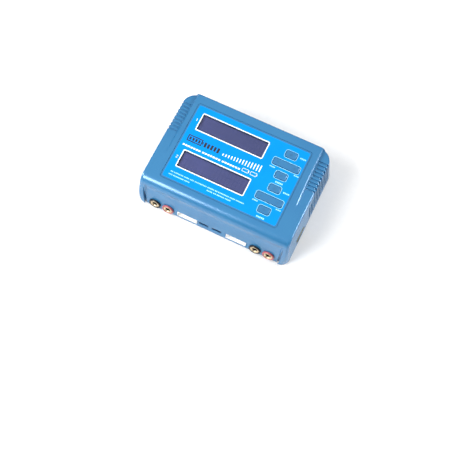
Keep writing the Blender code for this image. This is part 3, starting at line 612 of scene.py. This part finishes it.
def front_at(z):
    lean = front_lean()
    if z >= NOSE_Z + NOSE_RADIUS * sin(lean):
        return NOSE_Y - sqrt(max(NOSE_RADIUS**2 - (z - NOSE_Z) ** 2, 0))
    return FRONT_BOTTOM + (z - RIM_Z) * tan(lean)


def front_corner(z):
    low_share = min(max((FRONT_CORNER_Z - z) / (FRONT_CORNER_Z - RIM_Z), 0), 1)
    return FRONT_CORNER_HIGH + (FRONT_CORNER_LOW - FRONT_CORNER_HIGH) * low_share**2


def panel_at(z):
    return PANEL_Y + (z - PANEL_Z) * tan(PANEL_LEAN)


def edge_inset(z):
    rise = max(z - (TOP_Z - EDGE_RADIUS), 0)
    return EDGE_RADIUS - sqrt(max(EDGE_RADIUS**2 - rise**2, 0))


def wing_drop(y):
    return max(WING_SLOPE * (y - WING_FRONT), 0)


def ridge_share(line):
    """How much of the wing's drop each line across the ridge has, from 1 outside to 0 inside.

    The lines follow a quarter of an ellipse, so the ridge has a round shoulder over a sharp foot.
    """
    outward = RIDGE_ROUNDNESS * (1 - line / (RIDGE_LINES - 1))
    return (1 - sqrt(1 - outward**2)) / (1 - sqrt(1 - RIDGE_ROUNDNESS**2))


def right_stations():
    """Where the wall's columns stand on the right, from the front round to the back.

    Each is (corner or side, angle or y, share of the wing's drop).
    """
    front_steps, back_steps = 14, 12
    found = [("front", radians(-90 + 90 * step / front_steps), 0.0) for step in range(front_steps + 1)]
    found += [("side", y, 1.0) for y in (WING_FRONT, 0.0, 15.0, 30.0)]
    found += [("back", radians((RIDGE_ANGLE - 1) * step / back_steps), 1.0) for step in range(back_steps)]
    for line in range(RIDGE_LINES):
        angle = RIDGE_ANGLE + RIDGE_SPREAD * line / (RIDGE_LINES - 1)
        found.append(("back", radians(angle), ridge_share(line)))
    found += [("back", radians(angle), 0.0) for angle in BEHIND_RIDGE]
    return found


def station_xy(station, z, inset, nominal_z):
    """Where a column of the wall is at height z. A front corner follows the nose at nominal_z."""
    kind, where, _ = station
    half = side_at(z) - inset
    if kind == "side":
        return half, where
    if kind == "front":
        radius = front_corner(z)
        middle_y = front_at(nominal_z) + radius
    else:
        radius = BACK_CORNER
        middle_y = back_at(z) - inset - radius
    return half - radius + radius * cos(where), middle_y + radius * sin(where)


def station_drop(station):
    """The drop at a station, on the plane that the wing lies in."""
    drop = 0.0
    for _ in range(4):
        _, y = station_xy(station, TOP_Z - drop, EDGE_RADIUS, TOP_Z)
        drop = wing_drop(y) * station[2]
    return drop


def wall_levels():
    """(nominal height, inset) of each ring, lowest first."""
    rim_steps, nose_steps = 4, 22
    levels = []
    for step in range(rim_steps + 1):
        angle = pi / 2 * step / rim_steps
        levels.append((RIM_Z + RIM_RADIUS * (1 - cos(angle)), RIM_RADIUS * (1 - sin(angle))))
    lean = front_lean()
    levels += [(z, 0.0) for z in (*WALL_RINGS, NOSE_Z - BELOW_NOSE, NOSE_Z + NOSE_RADIUS * sin(lean))]
    for step in range(1, nose_steps + 1):
        angle = (pi / 2 - lean) * (1 - step / nose_steps)
        z = NOSE_Z + NOSE_RADIUS * cos(angle)
        levels.append((z, edge_inset(z)))
    return levels


def wall_rows(bm, stations):
    """The rings of vertices up the wall, right side first. The upper ones sink by the wings' drop."""
    drops = [station_drop(station) for station in stations]
    full_drop_z = TOP_Z - EDGE_RADIUS
    rows = []
    for nominal, inset in wall_levels():
        share = min(max((nominal - NOSE_Z) / (full_drop_z - NOSE_Z), 0), 1)
        right = []
        for station, drop in zip(stations, drops):
            z = nominal - drop * share
            x, y = station_xy(station, z, inset, nominal)
            right.append((x, y, z))
        left = [(-x, y, z) for x, y, z in reversed(right)]
        rows.append([bm.verts.new(point) for point in right + left])
    return rows


def ridge_line(bm, side, line, start):
    """One line along a ridge: it curls in from the wall at start, then runs straight to the front."""
    curl_steps, run_steps = 8, 12
    x = side * (WING_X + RIDGE_HALF * (1 - 2 * line / (RIDGE_LINES - 1)))
    turn = Vector((x, RIDGE_TURN_Y, 0))
    pull = Vector((x, RIDGE_TURN_Y + RIDGE_CURL, 0))
    spots = [curved(start.co, pull, turn, step / curl_steps) for step in range(1, curl_steps + 1)]
    for step in range(1, run_steps + 1):
        spots.append(Vector((x, RIDGE_TURN_Y + (WING_FRONT - RIDGE_TURN_Y) * step / run_steps, 0)))
    verts = [start]
    for spot in spots:
        z = TOP_Z - wing_drop(spot.y) * ridge_share(line)
        verts.append(bm.verts.new((spot.x, spot.y, z)))
    return verts


def wing_faces(bm, side, top, first_side, first_ridge):
    """A wing and the ridge beside it. Returns the ridge's lines, outermost first."""
    lines = [ridge_line(bm, side, line, top[first_ridge + line]) for line in range(RIDGE_LINES)]
    for outer, inner in zip(lines, lines[1:]):
        for i in range(len(outer) - 1):
            quad = [outer[i], inner[i], inner[i + 1], outer[i + 1]]
            bm.faces.new(quad if side == 1 else reversed(quad))
    wing = top[first_side:first_ridge] + lines[0]
    bm.faces.new(wing if side == 1 else reversed(wing))
    return lines


def top_faces(bm, top, stations):
    """Closes the wall's top ring: both wings and their ridges, and the flat top between them."""
    first_side = next(i for i, station in enumerate(stations) if station[0] == "side")
    past_ridge = len(stations) - len(BEHIND_RIDGE)
    first_ridge = past_ridge - RIDGE_LINES
    right = wing_faces(bm, 1, top, first_side, first_ridge)
    left = wing_faces(bm, -1, top[::-1], first_side, first_ridge)
    middle = top[-1 - first_side:] + top[:first_side + 1]
    middle += [line[-1] for line in right]
    middle += reversed(right[-1][:-1])
    middle += top[past_ridge:-past_ridge]
    middle += left[-1][:-1]
    middle += [line[-1] for line in reversed(left)]
    bm.faces.new(middle)


def outer_case():
    """The outside as one solid: walls, rounded nose, and both sloping wings with the ridge along each."""
    stations = right_stations()
    bm = bmesh.new()
    rows = wall_rows(bm, stations)
    bridged(bm, rows)
    bm.faces.new(reversed(rows[0]))
    top_faces(bm, rows[-1], stations)
    bmesh.ops.recalc_face_normals(bm, faces=bm.faces)
    return bm


def nose_point(angle):
    """A point on the nose's circle, as (Y, Z)."""
    return Vector((NOSE_Y + NOSE_RADIUS * cos(angle), NOSE_Z + NOSE_RADIUS * sin(angle)))


def recess_profile():
    """The (Y, Z) outline of the recess: up the panel, round the crease and along the nose."""
    steps = 6
    far = FRONT_BOTTOM - 2 * OVERCUT
    low = RIM_Z - OVERCUT
    below = CREASE_Z - CREASE_FILLET
    start = Vector((panel_at(below), below))
    corner = Vector((panel_at(CREASE_Z), CREASE_Z))
    crease_angle = atan2(CREASE_Z - NOSE_Z, panel_at(CREASE_Z) - NOSE_Y) + 2 * pi
    first_angle = crease_angle - CREASE_FILLET / NOSE_RADIUS
    last_angle = pi - front_lean()
    profile = [Vector((far, low)), Vector((panel_at(low), low))]
    profile += [curved(start, corner, nose_point(first_angle), step / steps) for step in range(steps + 1)]
    for step in range(1, steps + 1):
        profile.append(nose_point(first_angle + (last_angle - first_angle) * step / steps))
    profile.append(Vector((far, profile[-1].y)))
    return profile


def recess_tool():
    """What is taken off in front of the leaning panel. Its ends slant outwards at 45 degrees."""
    rings = []
    for side in (-1, 1):
        ring = []
        for y, z in recess_profile():
            ahead = (panel_at(z) - y) * cos(PANEL_LEAN)
            ring.append((side * (PANEL_HALF + ahead), y, z))
        rings.append(ring)
    bm = loft(rings)
    bmesh.ops.recalc_face_normals(bm, faces=bm.faces)
    return bm


def groove_tool(side, y):
    """A finger groove over the wing's outer edge, which runs on down the wall to its vent slot."""
    steps = 5
    low = VENT_HIGH - 1.2
    floor_z = TOP_Z - wing_drop(y) - GROOVE_DEPTH
    inner = WING_X + GROOVE_START
    points = [(inner, TOP_Z + OVERCUT), (inner, floor_z + 0.6), (inner + 0.6, floor_z)]
    centre_x = side_at(floor_z) - GROOVE_DEPTH - GROOVE_ROUND
    centre_z = floor_z - GROOVE_ROUND
    for step in range(steps + 1):
        angle = pi / 2 * (1 - step / steps)
        points.append((centre_x + GROOVE_ROUND * cos(angle), centre_z + GROOVE_ROUND * sin(angle)))
    outside = SIDE_BOTTOM + BEYOND_WALL
    points += [(side_at(low) - GROOVE_DEPTH, low), (outside, low), (outside, TOP_Z + OVERCUT)]
    loop = [(side * x, y - GROOVE_WIDTH / 2, z) for x, z in points]
    return slab(loop, (0, GROOVE_WIDTH, 0))


def vent_tool(side, y):
    """A tall slot with round ends through the side wall."""
    middle_z = (VENT_LOW + VENT_HIGH) / 2
    outline = rounded_outline(VENT_HIGH - VENT_LOW, GROOVE_WIDTH, GROOVE_WIDTH / 2 - 0.01, steps=4)
    points = [(side * VENT_INNER_X, y + across, middle_z + along) for along, across in outline]
    return slab(points, (side * VENT_REACH, 0, 0))


def side_openings():
    tools = []
    for side in (-1, 1):
        for index in range(GROOVE_COUNT):
            tools.append(groove_tool(side, GROOVE_FIRST + index * GROOVE_PITCH))
        for index in range(VENT_COUNT):
            tools.append(vent_tool(side, VENT_FIRST + index * GROOVE_PITCH))
    return tools


def top_openings():
    outlines = openings(0.1, 0.6, KEY_CLEARANCE, 1.5)
    return [prism([outline], INSIDE_Z, TOP_Z) for outline in outlines]


def key_size(node):
    return WIDE_KEY if "rocker" in node else SMALL_KEY


def panel_end_slot(side):
    """A narrow pointed slot along one end of the front panel, in the panel's own frame."""
    long, lean, widest, deep, steps = 27.0, 1.9, 1.1, 1.9, 12
    inner, outer = [], []
    for step in range(steps + 1):
        share = step / steps
        middle = PANEL_HALF + 0.5 + lean * share
        half = widest * sin(pi * (0.28 + 0.72 * share))
        inner.append((side * (middle - half), -OVERCUT, long * share - 0.3))
        outer.append((side * (middle + half), -OVERCUT, long * share - 0.3))
    return slab(inner + outer[-2::-1], (0, OVERCUT + deep, 0))


def panel_tools():
    """The openings in the front panel, in the panel's own frame: X, depth inwards, up."""
    depth, gap, banana_radius = 4.5, 0.3, 4.2
    tools = []
    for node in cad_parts:
        if node.startswith("banana_body"):
            x = middle_mm(node).x
            tools.append(rod((x, -OVERCUT, BANANA_UP), (x, depth, BANANA_UP), banana_radius, 40))
    for kind, up, height in (("balance_port", BALANCE_UP, 6.35), ("sensor_port", SENSOR_UP, 3.2)):
        for side in ("left", "right"):
            low, high = box_mm(f"{kind}_{side}")
            start = (low.x - gap, -OVERCUT, up - height / 2)
            tools.append(block(start, (high.x + gap, depth, up + height / 2)))
    tools += [panel_end_slot(-1), panel_end_slot(1)]
    return [moved(tool, PANEL_FRAME) for tool in tools]


def inlet_tools():
    """The openings for both inlets, and the fan's slots in the back wall."""
    gap = 0.3
    low, high = box_mm("dc_inlet_body")
    start = (INSIDE_X, low.y - gap, low.z - gap)
    tools = [block(start, (SIDE_BOTTOM + BEYOND_WALL, high.y + gap, high.z + gap))]
    low, high = box_mm("ac_inlet_body")
    start = (low.x - gap, INSIDE_Y, low.z - gap)
    tools.append(block(start, (high.x + gap, BACK_BOTTOM + BEYOND_WALL, high.z + gap)))
    outline = rounded_outline(18.0, 2.0, 0.99, steps=4)
    for index in range(FAN_SLOT_COUNT):
        x = FAN_SLOT_FIRST + index * FAN_SLOT_PITCH
        points = [(x + across, INSIDE_Y, FAN_SLOT_Z + along) for along, across in outline]
        tools.append(slab(points, (0, 10.0, 0)))
    return tools


def cavity_ring(half, z, shrink=0.0):
    """The cavity's outline at height z, half as wide as given and shrunk at the front and back."""
    front = panel_at(z) + PANEL_WALL / cos(PANEL_LEAN)
    if z > NOSE_Z:
        roof = NOSE_RADIUS - WALL
        front = max(front, NOSE_Y - sqrt(max(roof**2 - (z - NOSE_Z) ** 2, 0)))
    front += shrink
    back = back_at(min(z, TOP_Z - EDGE_RADIUS)) - WALL - shrink
    radius, near, steps = BACK_CORNER - WALL, 7.0, 6
    points = []
    for quarter, (centre_x, centre_y, corner) in enumerate((
        (half - radius, back - radius, radius), (radius - half, back - radius, radius),
        (near - half, front + near, near), (half - near, front + near, near),
    )):
        for step in range(steps + 1):
            angle = (quarter + step / steps) * pi / 2
            points.append((centre_x + corner * cos(angle), centre_y + corner * sin(angle), z))
    return points


def cavity_tool():
    """The inside as one solid. It steps in under the wings, where the top is lower."""
    wing_z, step_z, roof_z, roof_half = 35.8, 38.6, 40.4, 60.0
    rings = [cavity_ring(side_at(z) - WALL, z) for z in (RIM_Z - 1.5, NOSE_Z, wing_z)]
    rings += [cavity_ring(roof_half, z, 0.5) for z in (wing_z, step_z, roof_z)]
    return loft(rings)


def make_shell():
    bm = combined(outer_case(), recess_tool())
    for tool in side_openings():
        bm = combined(bm, tool)
    seat = box_outline("label_overlay", SEAT_GAP, 2.3)
    bm = combined(bm, prism([seat], TOP_Z - SEAT_DEPTH, TOP_Z + 2))
    for tool in top_openings() + panel_tools() + inlet_tools():
        bm = combined(bm, tool)
    bm = softened(bm, 0.22)
    bm = combined(bm, cavity_tool())
    piece("case_shell", bm, "case_blue", ["top_shell"])


# ---- label and its print ----

def key_outline(node, grow, radius):
    width, height = key_size(node)
    return rounded_outline(width + 2 * grow, height + 2 * grow, radius, middle_mm(node).xy)


def box_outline(node, grow, radius):
    """The outline of a node's box from above, with round corners."""
    low, high = box_mm(node)
    middle = (low + high) / 2
    return rounded_outline(high.x - low.x + 2 * grow, high.y - low.y + 2 * grow, radius, middle.xy)


def openings(window_grow, window_radius, key_grow, key_radius):
    """Outlines round both windows and all the keys."""
    outlines = [box_outline(node, window_grow, window_radius) for node in WINDOW_NODES]
    return outlines + [key_outline(node, key_grow, key_radius) for node in KEY_NODES]


def bar(x, y, width, height, radius=0.12):
    """A small printed block round its middle."""
    return rounded_outline(width, height, radius, (x, y), steps=2)


def frame_of(x, y, width, height, line):
    radius = 0.6
    inner_radius = max(radius - line, 0.1)
    return [
        rounded_outline(width, height, radius, (x, y), steps=4),
        rounded_outline(width - 2 * line, height - 2 * line, inner_radius, (x, y), steps=4),
    ]


def printed(name, outlines, colour, layer=1, body="case", top=None):
    """Thin printed shapes on the label, in layers that stand a hair over each other."""
    floor = LABEL_TOP if top is None else top
    bm = prism(outlines, floor - 0.05, floor + INK * layer)
    piece(name, bm, colour, (), body)


def make_label():
    """The film, the azure field printed over it, and the frames round the displays and keys."""
    outlines = [box_outline("label_overlay", 0, 2.0)] + openings(0.15, 0.7, KEY_CLEARANCE, 1.7)
    film = prism(outlines, LABEL_LOW.z, LABEL_TOP)
    piece("label_film", film, "case_blue", ["label_overlay"])
    outlines = [box_outline("label_overlay", -LABEL_BORDER, 1.6)]
    outlines += openings(0.3, 0.8, KEY_CLEARANCE + 0.1, 1.75)
    printed("label_field", outlines, "label_azure", 1)
    frames = []
    for node in WINDOW_NODES:
        frames += [box_outline(node, 1.15, 1.4), box_outline(node, 0.2, 0.6)]
    printed("display_frames", frames, "ink_white", 2)
    lines = []
    for node in KEY_NODES:
        lines.append(key_outline(node, KEY_CLEARANCE + 0.52, 2.2))
        lines.append(key_outline(node, KEY_CLEARANCE + 0.14, 1.8))
    printed("key_frames", lines, "ink_pale", 2)


def dash_row(start, end, y, height, words):
    """Blank blocks in place of words: each word is so many blocks, spread from start to end."""
    gap, space = 0.3, 0.9
    units = sum(words) + gap * sum(count - 1 for count in words) + space * (len(words) - 1)
    unit = (end - start) / units
    x = start
    blocks = []
    for count in words:
        for _ in range(count):
            blocks.append(bar(x + unit / 2, y, unit, height, 0.1))
            x += unit * (1 + gap)
        x += unit * (space - gap)
    return blocks


def digit(number, x, y):
    """A seven-segment 1 or 2, 2.6 mm tall."""
    tall, wide, line = 2.6, 1.5, 0.42
    if number == 1:
        return [bar(x, y, line, tall), bar(x - 0.42, y + tall / 2 - 0.4, 0.3, line)]
    rows = [bar(x, y + side * (tall - line) / 2, wide, line, 0.1) for side in (-1, 0, 1)]
    across, up = (wide - line) / 2, (tall - line) / 4
    return rows + [bar(x + side * across, y + side * up, line, tall / 2 - 1.3 * line) for side in (1, -1)]


def battery_sign(x, y, width, height, line, cells):
    """A battery with its terminal on the right and charge bars inside. x and y are its middle."""
    shapes = frame_of(x, y, width, height, line)
    shapes.append(bar(x + width / 2 + 0.75 * line, y, line, height * 0.42))
    pitch = (width - 3 * line) / cells if cells else 0
    for index in range(cells):
        shapes.append(bar(
            x - width / 2 + 1.5 * line + (index + 0.5) * pitch, y, pitch * 0.62, height - 3.6 * line, 0.1,
        ))
    return shapes


def make_print():
    digits = digit(1, -52.2, 26.3) + digit(2, -52.1, -13.6)
    printed("display_numbers", digits, "ink_white", 2)
    sign = battery_sign(-44.8, 7.6, 14.4, 6.4, 0.95, 4)
    for index in range(5):
        sign.append(bar(-34.2 + index * 3.2, 7.1, 2.1, 5.0 - 0.6 * (index % 2), 0.25))
    printed("label_sign_dark", sign, "ink_black", 2)
    meter = []
    for index in range(14):
        height = 2.2 + 0.34 * index
        meter.append(bar(-15.9 + index * 2.75, 4.6 + height / 2, 0.95, height))
    meter += battery_sign(8.6, 0.6, 6.2, 3.4, 0.36, 0) + battery_sign(16.6, 0.6, 6.2, 3.4, 0.36, 0)
    meter += dash_row(-53.0, 3.6, -0.4, 1.5, (7, 7, 7))
    printed("label_sign_light", meter, "ink_white", 2)
    rows = dash_row(-50.8, 20.8, -28.4, 1.0, (2, 7, 4, 3, 9, 5, 2, 8, 4, 6))
    rows += dash_row(-51.3, -31.0, -31.4, 1.0, (3, 8, 4))
    rows += dash_row(-14.0, 9.2, -31.2, 1.0, (4, 2, 5, 4))
    printed("label_small_marks", rows, "ink_pale", 2)
    captions = []
    for x, y, width, height, blocks in (
        (50.3, 32.6, 5.6, 1.3, 4), (50.3, -3.8, 5.6, 1.3, 4), (28.4, 14.6, 5.2, 1.1, 4),
        (51.4, 15.2, 4.6, 1.1, 3), (28.2, -20.9, 5.0, 1.1, 4), (50.4, -20.6, 4.8, 1.1, 3),
        (40.4, 2.7, 7.0, 1.6, 5), (39.0, -33.6, 7.4, 1.5, 5),
    ):
        captions += dash_row(x - width / 2, x + width / 2, y, height, (blocks,))
    printed("key_captions", captions, "ink_pale", 2)


# ---- keys ----

def key_cap(width, height, low, high, edge):
    """A cap with a rounded rim round a very slightly dished top."""
    rings = []
    steps = 4
    for z in (low, high - edge):
        rings.append([Vector((x, y, z)) for x, y in rounded_outline(width, height, 1.3)])
    for step in range(1, steps + 1):
        angle = pi / 2 * step / steps
        inset = edge * (1 - cos(angle))
        z = high - edge + edge * sin(angle)
        outline = rounded_outline(width - 2 * inset, height - 2 * inset, 1.3 - inset)
        rings.append([Vector((x, y, z)) for x, y in outline])
    for inset, z in ((1.0, high - 0.05), (1.25, high - 0.08)):
        outline = rounded_outline(width - 2 * inset, height - 2 * inset, 0.5)
        rings.append([Vector((x, y, z)) for x, y in outline])
    return loft(rings)


def make_keys():
    for node in KEY_NODES:
        low, high = box_mm(node)
        width, height = key_size(node)
        middle = Matrix.Translation((middle_mm(node).x, middle_mm(node).y, 0))
        deep, skirt_half, stems = 3.1, 6.3, (0.0,)
        if "rocker" in node:
            deep, skirt_half, stems = 4.0, 3.0, (-ROCKER_END, ROCKER_END)
        cap = key_cap(width, height, high.z - deep, high.z, 0.45)
        skirt = rounded_block((-skirt_half, -4.3, 38.9), (skirt_half, 4.3, 40.1), 0.3)
        cap = combined(cap, skirt, "UNION")
        for stem_x in stems:
            stem = block((stem_x - 1.5, -1.5, low.z), (stem_x + 1.5, 1.5, 39.6))
            cap = combined(cap, stem, "UNION")
        piece(f"{node}_cap", moved(cap, middle), "case_blue", [node], node)
        make_key_mark(node, high.z)


def make_key_mark(node, top):
    """The dark sign moulded into a key: a ring to stop, a minus and a plus to step, a tick to enter."""
    x, y, _ = middle_mm(node)
    if "stop" in node:
        shapes = [rounded_outline(2.3, 2.3, 1.15, (x, y), 6), rounded_outline(1.3, 1.3, 0.65, (x, y), 6)]
    elif "rocker" in node:
        shapes = [bar(x - ROCKER_END, y, 2.2, 0.5), bar(x + ROCKER_END, y, 2.2, 0.5)]
        shapes += [bar(x + ROCKER_END, y + side * 0.75, 0.5, 0.8) for side in (-1, 1)]
    else:
        shapes = [[
            (x - 1.3, y + 0.1), (x - 0.35, y - 0.95), (x + 1.4, y + 0.85),
            (x + 1.05, y + 1.2), (x - 0.35, y - 0.2), (x - 0.95, y + 0.45),
        ]]
    printed(f"{node}_mark", shapes, "ink_mark", 1, node, top - 0.08)


# ---- sockets on the front panel ----

def panel_place(node, up):
    """The panel's frame moved to a socket's middle, with the panel's outward normal as +Z."""
    x = middle_mm(node).x
    return PANEL_FRAME @ Matrix.Translation((x, 0, up)) @ Matrix.Rotation(pi / 2, 4, "X")


def make_banana_sockets():
    body = rounded_profile([
        (3.9, 0.25), (5.75, 0.25), (5.75, 1.45), (5.4, 1.78), (4.75, 1.78), (4.35, 1.35),
        (4.35, 0.7), (2.9, 0.5), (2.9, -6.5), (3.9, -6.5),
    ], 0.22)
    contact = rounded_profile([
        (0, -12), (2.85, -12), (2.85, 0.9), (4.2, 1.0), (4.2, 1.5), (3.9, 1.7), (3.4, 1.6), (2.9, 1.1),
        (2.5, 0.7), (2.5, -10.5), (0, -10.5),
    ], 0.1)
    lining = rounded_profile([(2.0, -10.3), (2.45, -10.3), (2.45, 0.75), (2.0, 0.55)], 0.08)
    for kind in ("left_black", "left_red", "right_black", "right_red"):
        node = f"banana_body_{kind}"
        colour = "red_plastic" if "red" in kind else "black_plastic"
        place = panel_place(node, BANANA_UP)
        housing = moved(turned(body, 64), place)
        piece(f"banana_housing_{kind}", housing, colour, [node])
        barrel = moved(turned(contact, 56), place)
        piece(f"banana_barrel_{kind}", barrel, "gold", [f"banana_contact_{kind}"])
        sleeve = moved(turned(lining, 48), place)
        piece(f"banana_lining_{kind}", sleeve, "black_plastic", ())


def make_balance_ports():
    for side in ("left", "right"):
        node = f"balance_port_{side}"
        place = panel_place(node, BALANCE_UP)
        body = rounded_block((-10.0, -2.88, -6.7), (10.0, 2.88, 0.4), 0.28)
        body = combined(body, rounded_block((-9.2, -2.13, -3.2), (9.2, 2.13, 3.0), 0.2))
        for key_x in (-6.2, 6.2):
            body = combined(body, block((key_x - 0.8, 0.5, -2.6), (key_x + 0.8, 4.0, 3.0)))
        body = combined(body, block((-8.2, -0.7, -8.0), (8.2, 0.7, -4.0)))
        housing = moved(softened(body, 0.12, 2, 50), place)
        piece(f"balance_housing_{side}", housing, "white_nylon", [node])
        comb = rounded_block((-8.1, -0.4, -9.8), (8.1, 0.4, -9.0), 0.1)
        for index in range(BALANCE_PINS):
            comb = combined(comb, square_pin((index - (BALANCE_PINS - 1) / 2) * BALANCE_PITCH), "UNION")
        piece(f"balance_comb_{side}", moved(comb, place), "tin", [f"balance_pins_{side}"])


def square_pin(x):
    """A square pin with a chamfered tip, reaching out of the port's floor."""
    half, tip, tip_long, end = 0.32, 0.12, 0.5, -1.2
    corners = ((-1, -1), (1, -1), (1, 1), (-1, 1))
    rings = []
    for size, z in ((half, -9.4), (half, end - tip_long), (tip, end)):
        rings.append([Vector((x + a * size, b * size, z)) for a, b in corners])
    return loft(rings)


def make_sensor_ports():
    for side in ("left", "right"):
        node = f"sensor_port_{side}"
        body = rounded_block((-4.4, -1.3, -6.7), (4.4, 1.3, -0.4), 0.2)
        body = combined(body, rounded_block((-3.8, -0.8, -5.0), (3.8, 0.8, 2.0), 0.12))
        body = moved(body, panel_place(node, SENSOR_UP))
        piece(f"sensor_housing_{side}", body, "navy_plastic", [node])


# ---- inlets, base and inside ----

def make_dc_inlet():
    """A six-sided polarised socket, set into the right wall."""
    low, high = box_mm("dc_inlet_body")
    middle = (low + high) / 2

    def outline(inset, cut):
        half_y, half_z = (high.y - low.y) / 2 - inset, (high.z - low.z) / 2 - inset
        return [
            (-half_y, -half_z), (half_y - cut, -half_z), (half_y, cut - half_z),
            (half_y, half_z - cut), (half_y - cut, half_z), (-half_y, half_z),
        ]

    def along_x(points, start, end):
        return slab([(start, middle.y + y, middle.z + z) for y, z in points], (end - start, 0, 0))

    body = softened(along_x(outline(0, 2.4), low.x, high.x), 0.3, 3)
    body = combined(body, softened(along_x(outline(1.2, 2.0), high.x - 11.0, high.x + 2.0), 0.15))
    for side in (-1, 1):
        y = middle.y + side * 3.6
        body = combined(body, rod((low.x - 2, y, middle.z), (high.x - 9.0, y, middle.z), 2.05))
    # The housing's look is yellow nylon with painted shade: darkened to olive
    piece("dc_inlet_housing", body, "yellow_nylon", ["dc_inlet_body"])
    pin = rounded_profile([(0, 0), (1.75, 0), (1.75, 14.2), (1.1, 14.8), (0, 14.8)], 0.2)
    for name, side in (("minus", -1), ("plus", 1)):
        node = f"dc_inlet_pin_{name}"
        start = (box_mm(node)[0].x, middle.y + side * 3.6, middle.z)
        along_x = Matrix.Translation(start) @ Matrix.Rotation(pi / 2, 4, "Y")
        bm = moved(turned(pin, 32), along_x)
        piece(f"dc_inlet_pin_{name}_turned", bm, "gold", [node])


def make_feet():
    profile = rounded_profile([
        (0, 0.25), (3.4, 0.25), (3.9, 0), (5.4, 0), (6.0, 0.6), (6.0, 1.7), (0, 1.7),
    ], 0.35)
    for number in range(1, 5):
        node = f"foot_{number}"
        x, y, _ = middle_mm(node)
        bm = moved(turned(profile, 56), Matrix.Translation((x, y, 0)))
        piece(f"rubber_foot_{number}", bm, "rubber", [node])


def make_screws():
    """Cross-recess screws, with a few turns of thread on each shank."""
    head = [(0, 0), (2.0, 0), (2.8, 0.7), (2.8, 1.6), (1.05, 1.6)]
    thread = []
    for index in range(12):
        z = 2.4 + index * 0.7
        thread += [(0.85, z), (1.15, z + 0.35)]
    profile = head + thread + [(0.7, 11.0), (0, 11.5)]
    for number in range(1, 5):
        node = f"case_screw_{number}"
        low, _ = box_mm(node)
        x, y, _ = middle_mm(node)
        bm = turned(rounded_profile(profile, 0.12, 2), 32)
        for size in ((1.7, 0.28), (0.28, 1.7)):
            bm = combined(bm, block((-size[0], -size[1], -1.0), (size[0], size[1], 1.1)))
        bm = moved(bm, Matrix.Translation((x, y, low.z)) @ Matrix.Rotation(0.4 * number, 4, "Z"))
        piece(f"case_screw_{number}_cross", bm, "steel", [node])


def copied(node):
    bm = bmesh.new()
    bm.from_mesh(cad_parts[node].data)
    return moved(bm, Matrix.Scale(1 / MM, 4))


def refine(node, colour, width, body="case"):
    """A CAD node with its facets joined up and its edges rounded."""
    bm = softened(copied(node), width)
    piece(f"{node}_finished", bm, colour, [node], body)


def refine_inside():
    for colour, width, nodes in (
        ("black_plastic", 0.3, ("bottom_cover", "ac_inlet_body", "fan_frame")),
        ("board_green", 0.12, ("control_board", "output_board", "power_board")),
        ("bezel_black", 0.2, ("display_module_upper", "display_module_lower")),
        ("display_violet", 0.1, ("display_glass_upper", "display_glass_lower")),
        ("window_clear", 0.05, ("display_window_upper", "display_window_lower")),
        ("ferrite", 0.5, ("transformer", "inductor")),
        ("aluminium", 0.15, ("heat_sink",)),
        ("sleeve", 0.15, ("capacitor_1", "capacitor_2")),
        ("tin", 0.1, ("ac_inlet_pins",)),
        ("bezel_black", 0.15, [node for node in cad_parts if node.startswith("switch_")]),
    ):
        for node in nodes:
            refine(node, colour, width)
    refine("fan_rotor", "black_plastic", 0.12, "fan_rotor")


def dress_nodes():
    """Gives each CAD node the look that its own material names."""
    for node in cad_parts.values():
        for material_slot in node.material_slots:
            name = material_slot.material.name.split(".")[0]
            material_slot.material = LOOKS.get(name, LOOKS["bezel_black"])


# ---- stage ----

def make_floor():
    bm = bmesh.new()
    bmesh.ops.create_grid(bm, x_segments=24, y_segments=24, size=1.1)
    mesh = mesh_of("floor", bm)
    mesh.materials.append(make_floor_look())
    in_scene("floor", mesh)


CAMERA_AT = Vector((0.1188, -0.2674, 0.7396))
CAMERA_AIM = Vector((-0.1413, 0.2907, -0.9463))


def make_camera():
    data = bpy.data.cameras.new("camera")
    data.lens = 68
    data.sensor_width = 36
    camera = in_scene("camera", data)
    camera.location = CAMERA_AT
    camera.rotation_euler = CAMERA_AIM.to_track_quat("-Z", "Y").to_euler()
    bpy.context.scene.camera = camera


def softbox(name, at, size, energy, aim=(0, 0, 0.02)):
    data = bpy.data.lights.new(name, "AREA")
    data.shape = "RECTANGLE"
    data.size, data.size_y = size
    data.energy = energy
    light = in_scene(name, data)
    light.location = at
    light.rotation_euler = (Vector(aim) - Vector(at)).to_track_quat("-Z", "Y").to_euler()


def make_lights():
    world = bpy.data.worlds.new("studio")
    bpy.context.scene.world = world
    world.use_nodes = True
    tree = world.node_tree
    ground = tree.nodes["Background"]
    fill(ground, Color=(1, 1, 1, 1), Strength=0.2)
    backdrop = tree.nodes.new("ShaderNodeBackground")
    fill(backdrop, Color=(0.97, 0.97, 0.97, 1), Strength=1.0)
    path = tree.nodes.new("ShaderNodeLightPath")
    either = tree.nodes.new("ShaderNodeMixShader")
    tree.links.new(path.outputs["Is Camera Ray"], either.inputs["Fac"])
    tree.links.new(ground.outputs["Background"], either.inputs[1])
    tree.links.new(backdrop.outputs["Background"], either.inputs[2])
    tree.links.new(either.outputs["Shader"], tree.nodes["World Output"].inputs["Surface"])
    softbox("overhead_light", (0, 0.1, 2.2), (3.0, 3.0), 14)
    softbox("key_light", (-0.85, -0.3, 0.75), (0.4, 0.4), 9.5)
    softbox("nose_light", (-0.25, -0.44, 0.48), (0.22, 0.3), 3.2, (-0.04, -0.04, 0.04))
    softbox("edge_light", (0.64, 0.32, 0.52), (0.14, 0.2), 5.5, (0.06, 0.02, 0.04))


make_shell()
make_label()
make_print()
make_keys()
make_banana_sockets()
make_balance_ports()
make_sensor_ports()
make_dc_inlet()
make_feet()
make_screws()
refine_inside()
dress_nodes()
make_floor()
make_camera()
make_lights()
bpy.context.scene.view_settings.view_transform = "Standard"
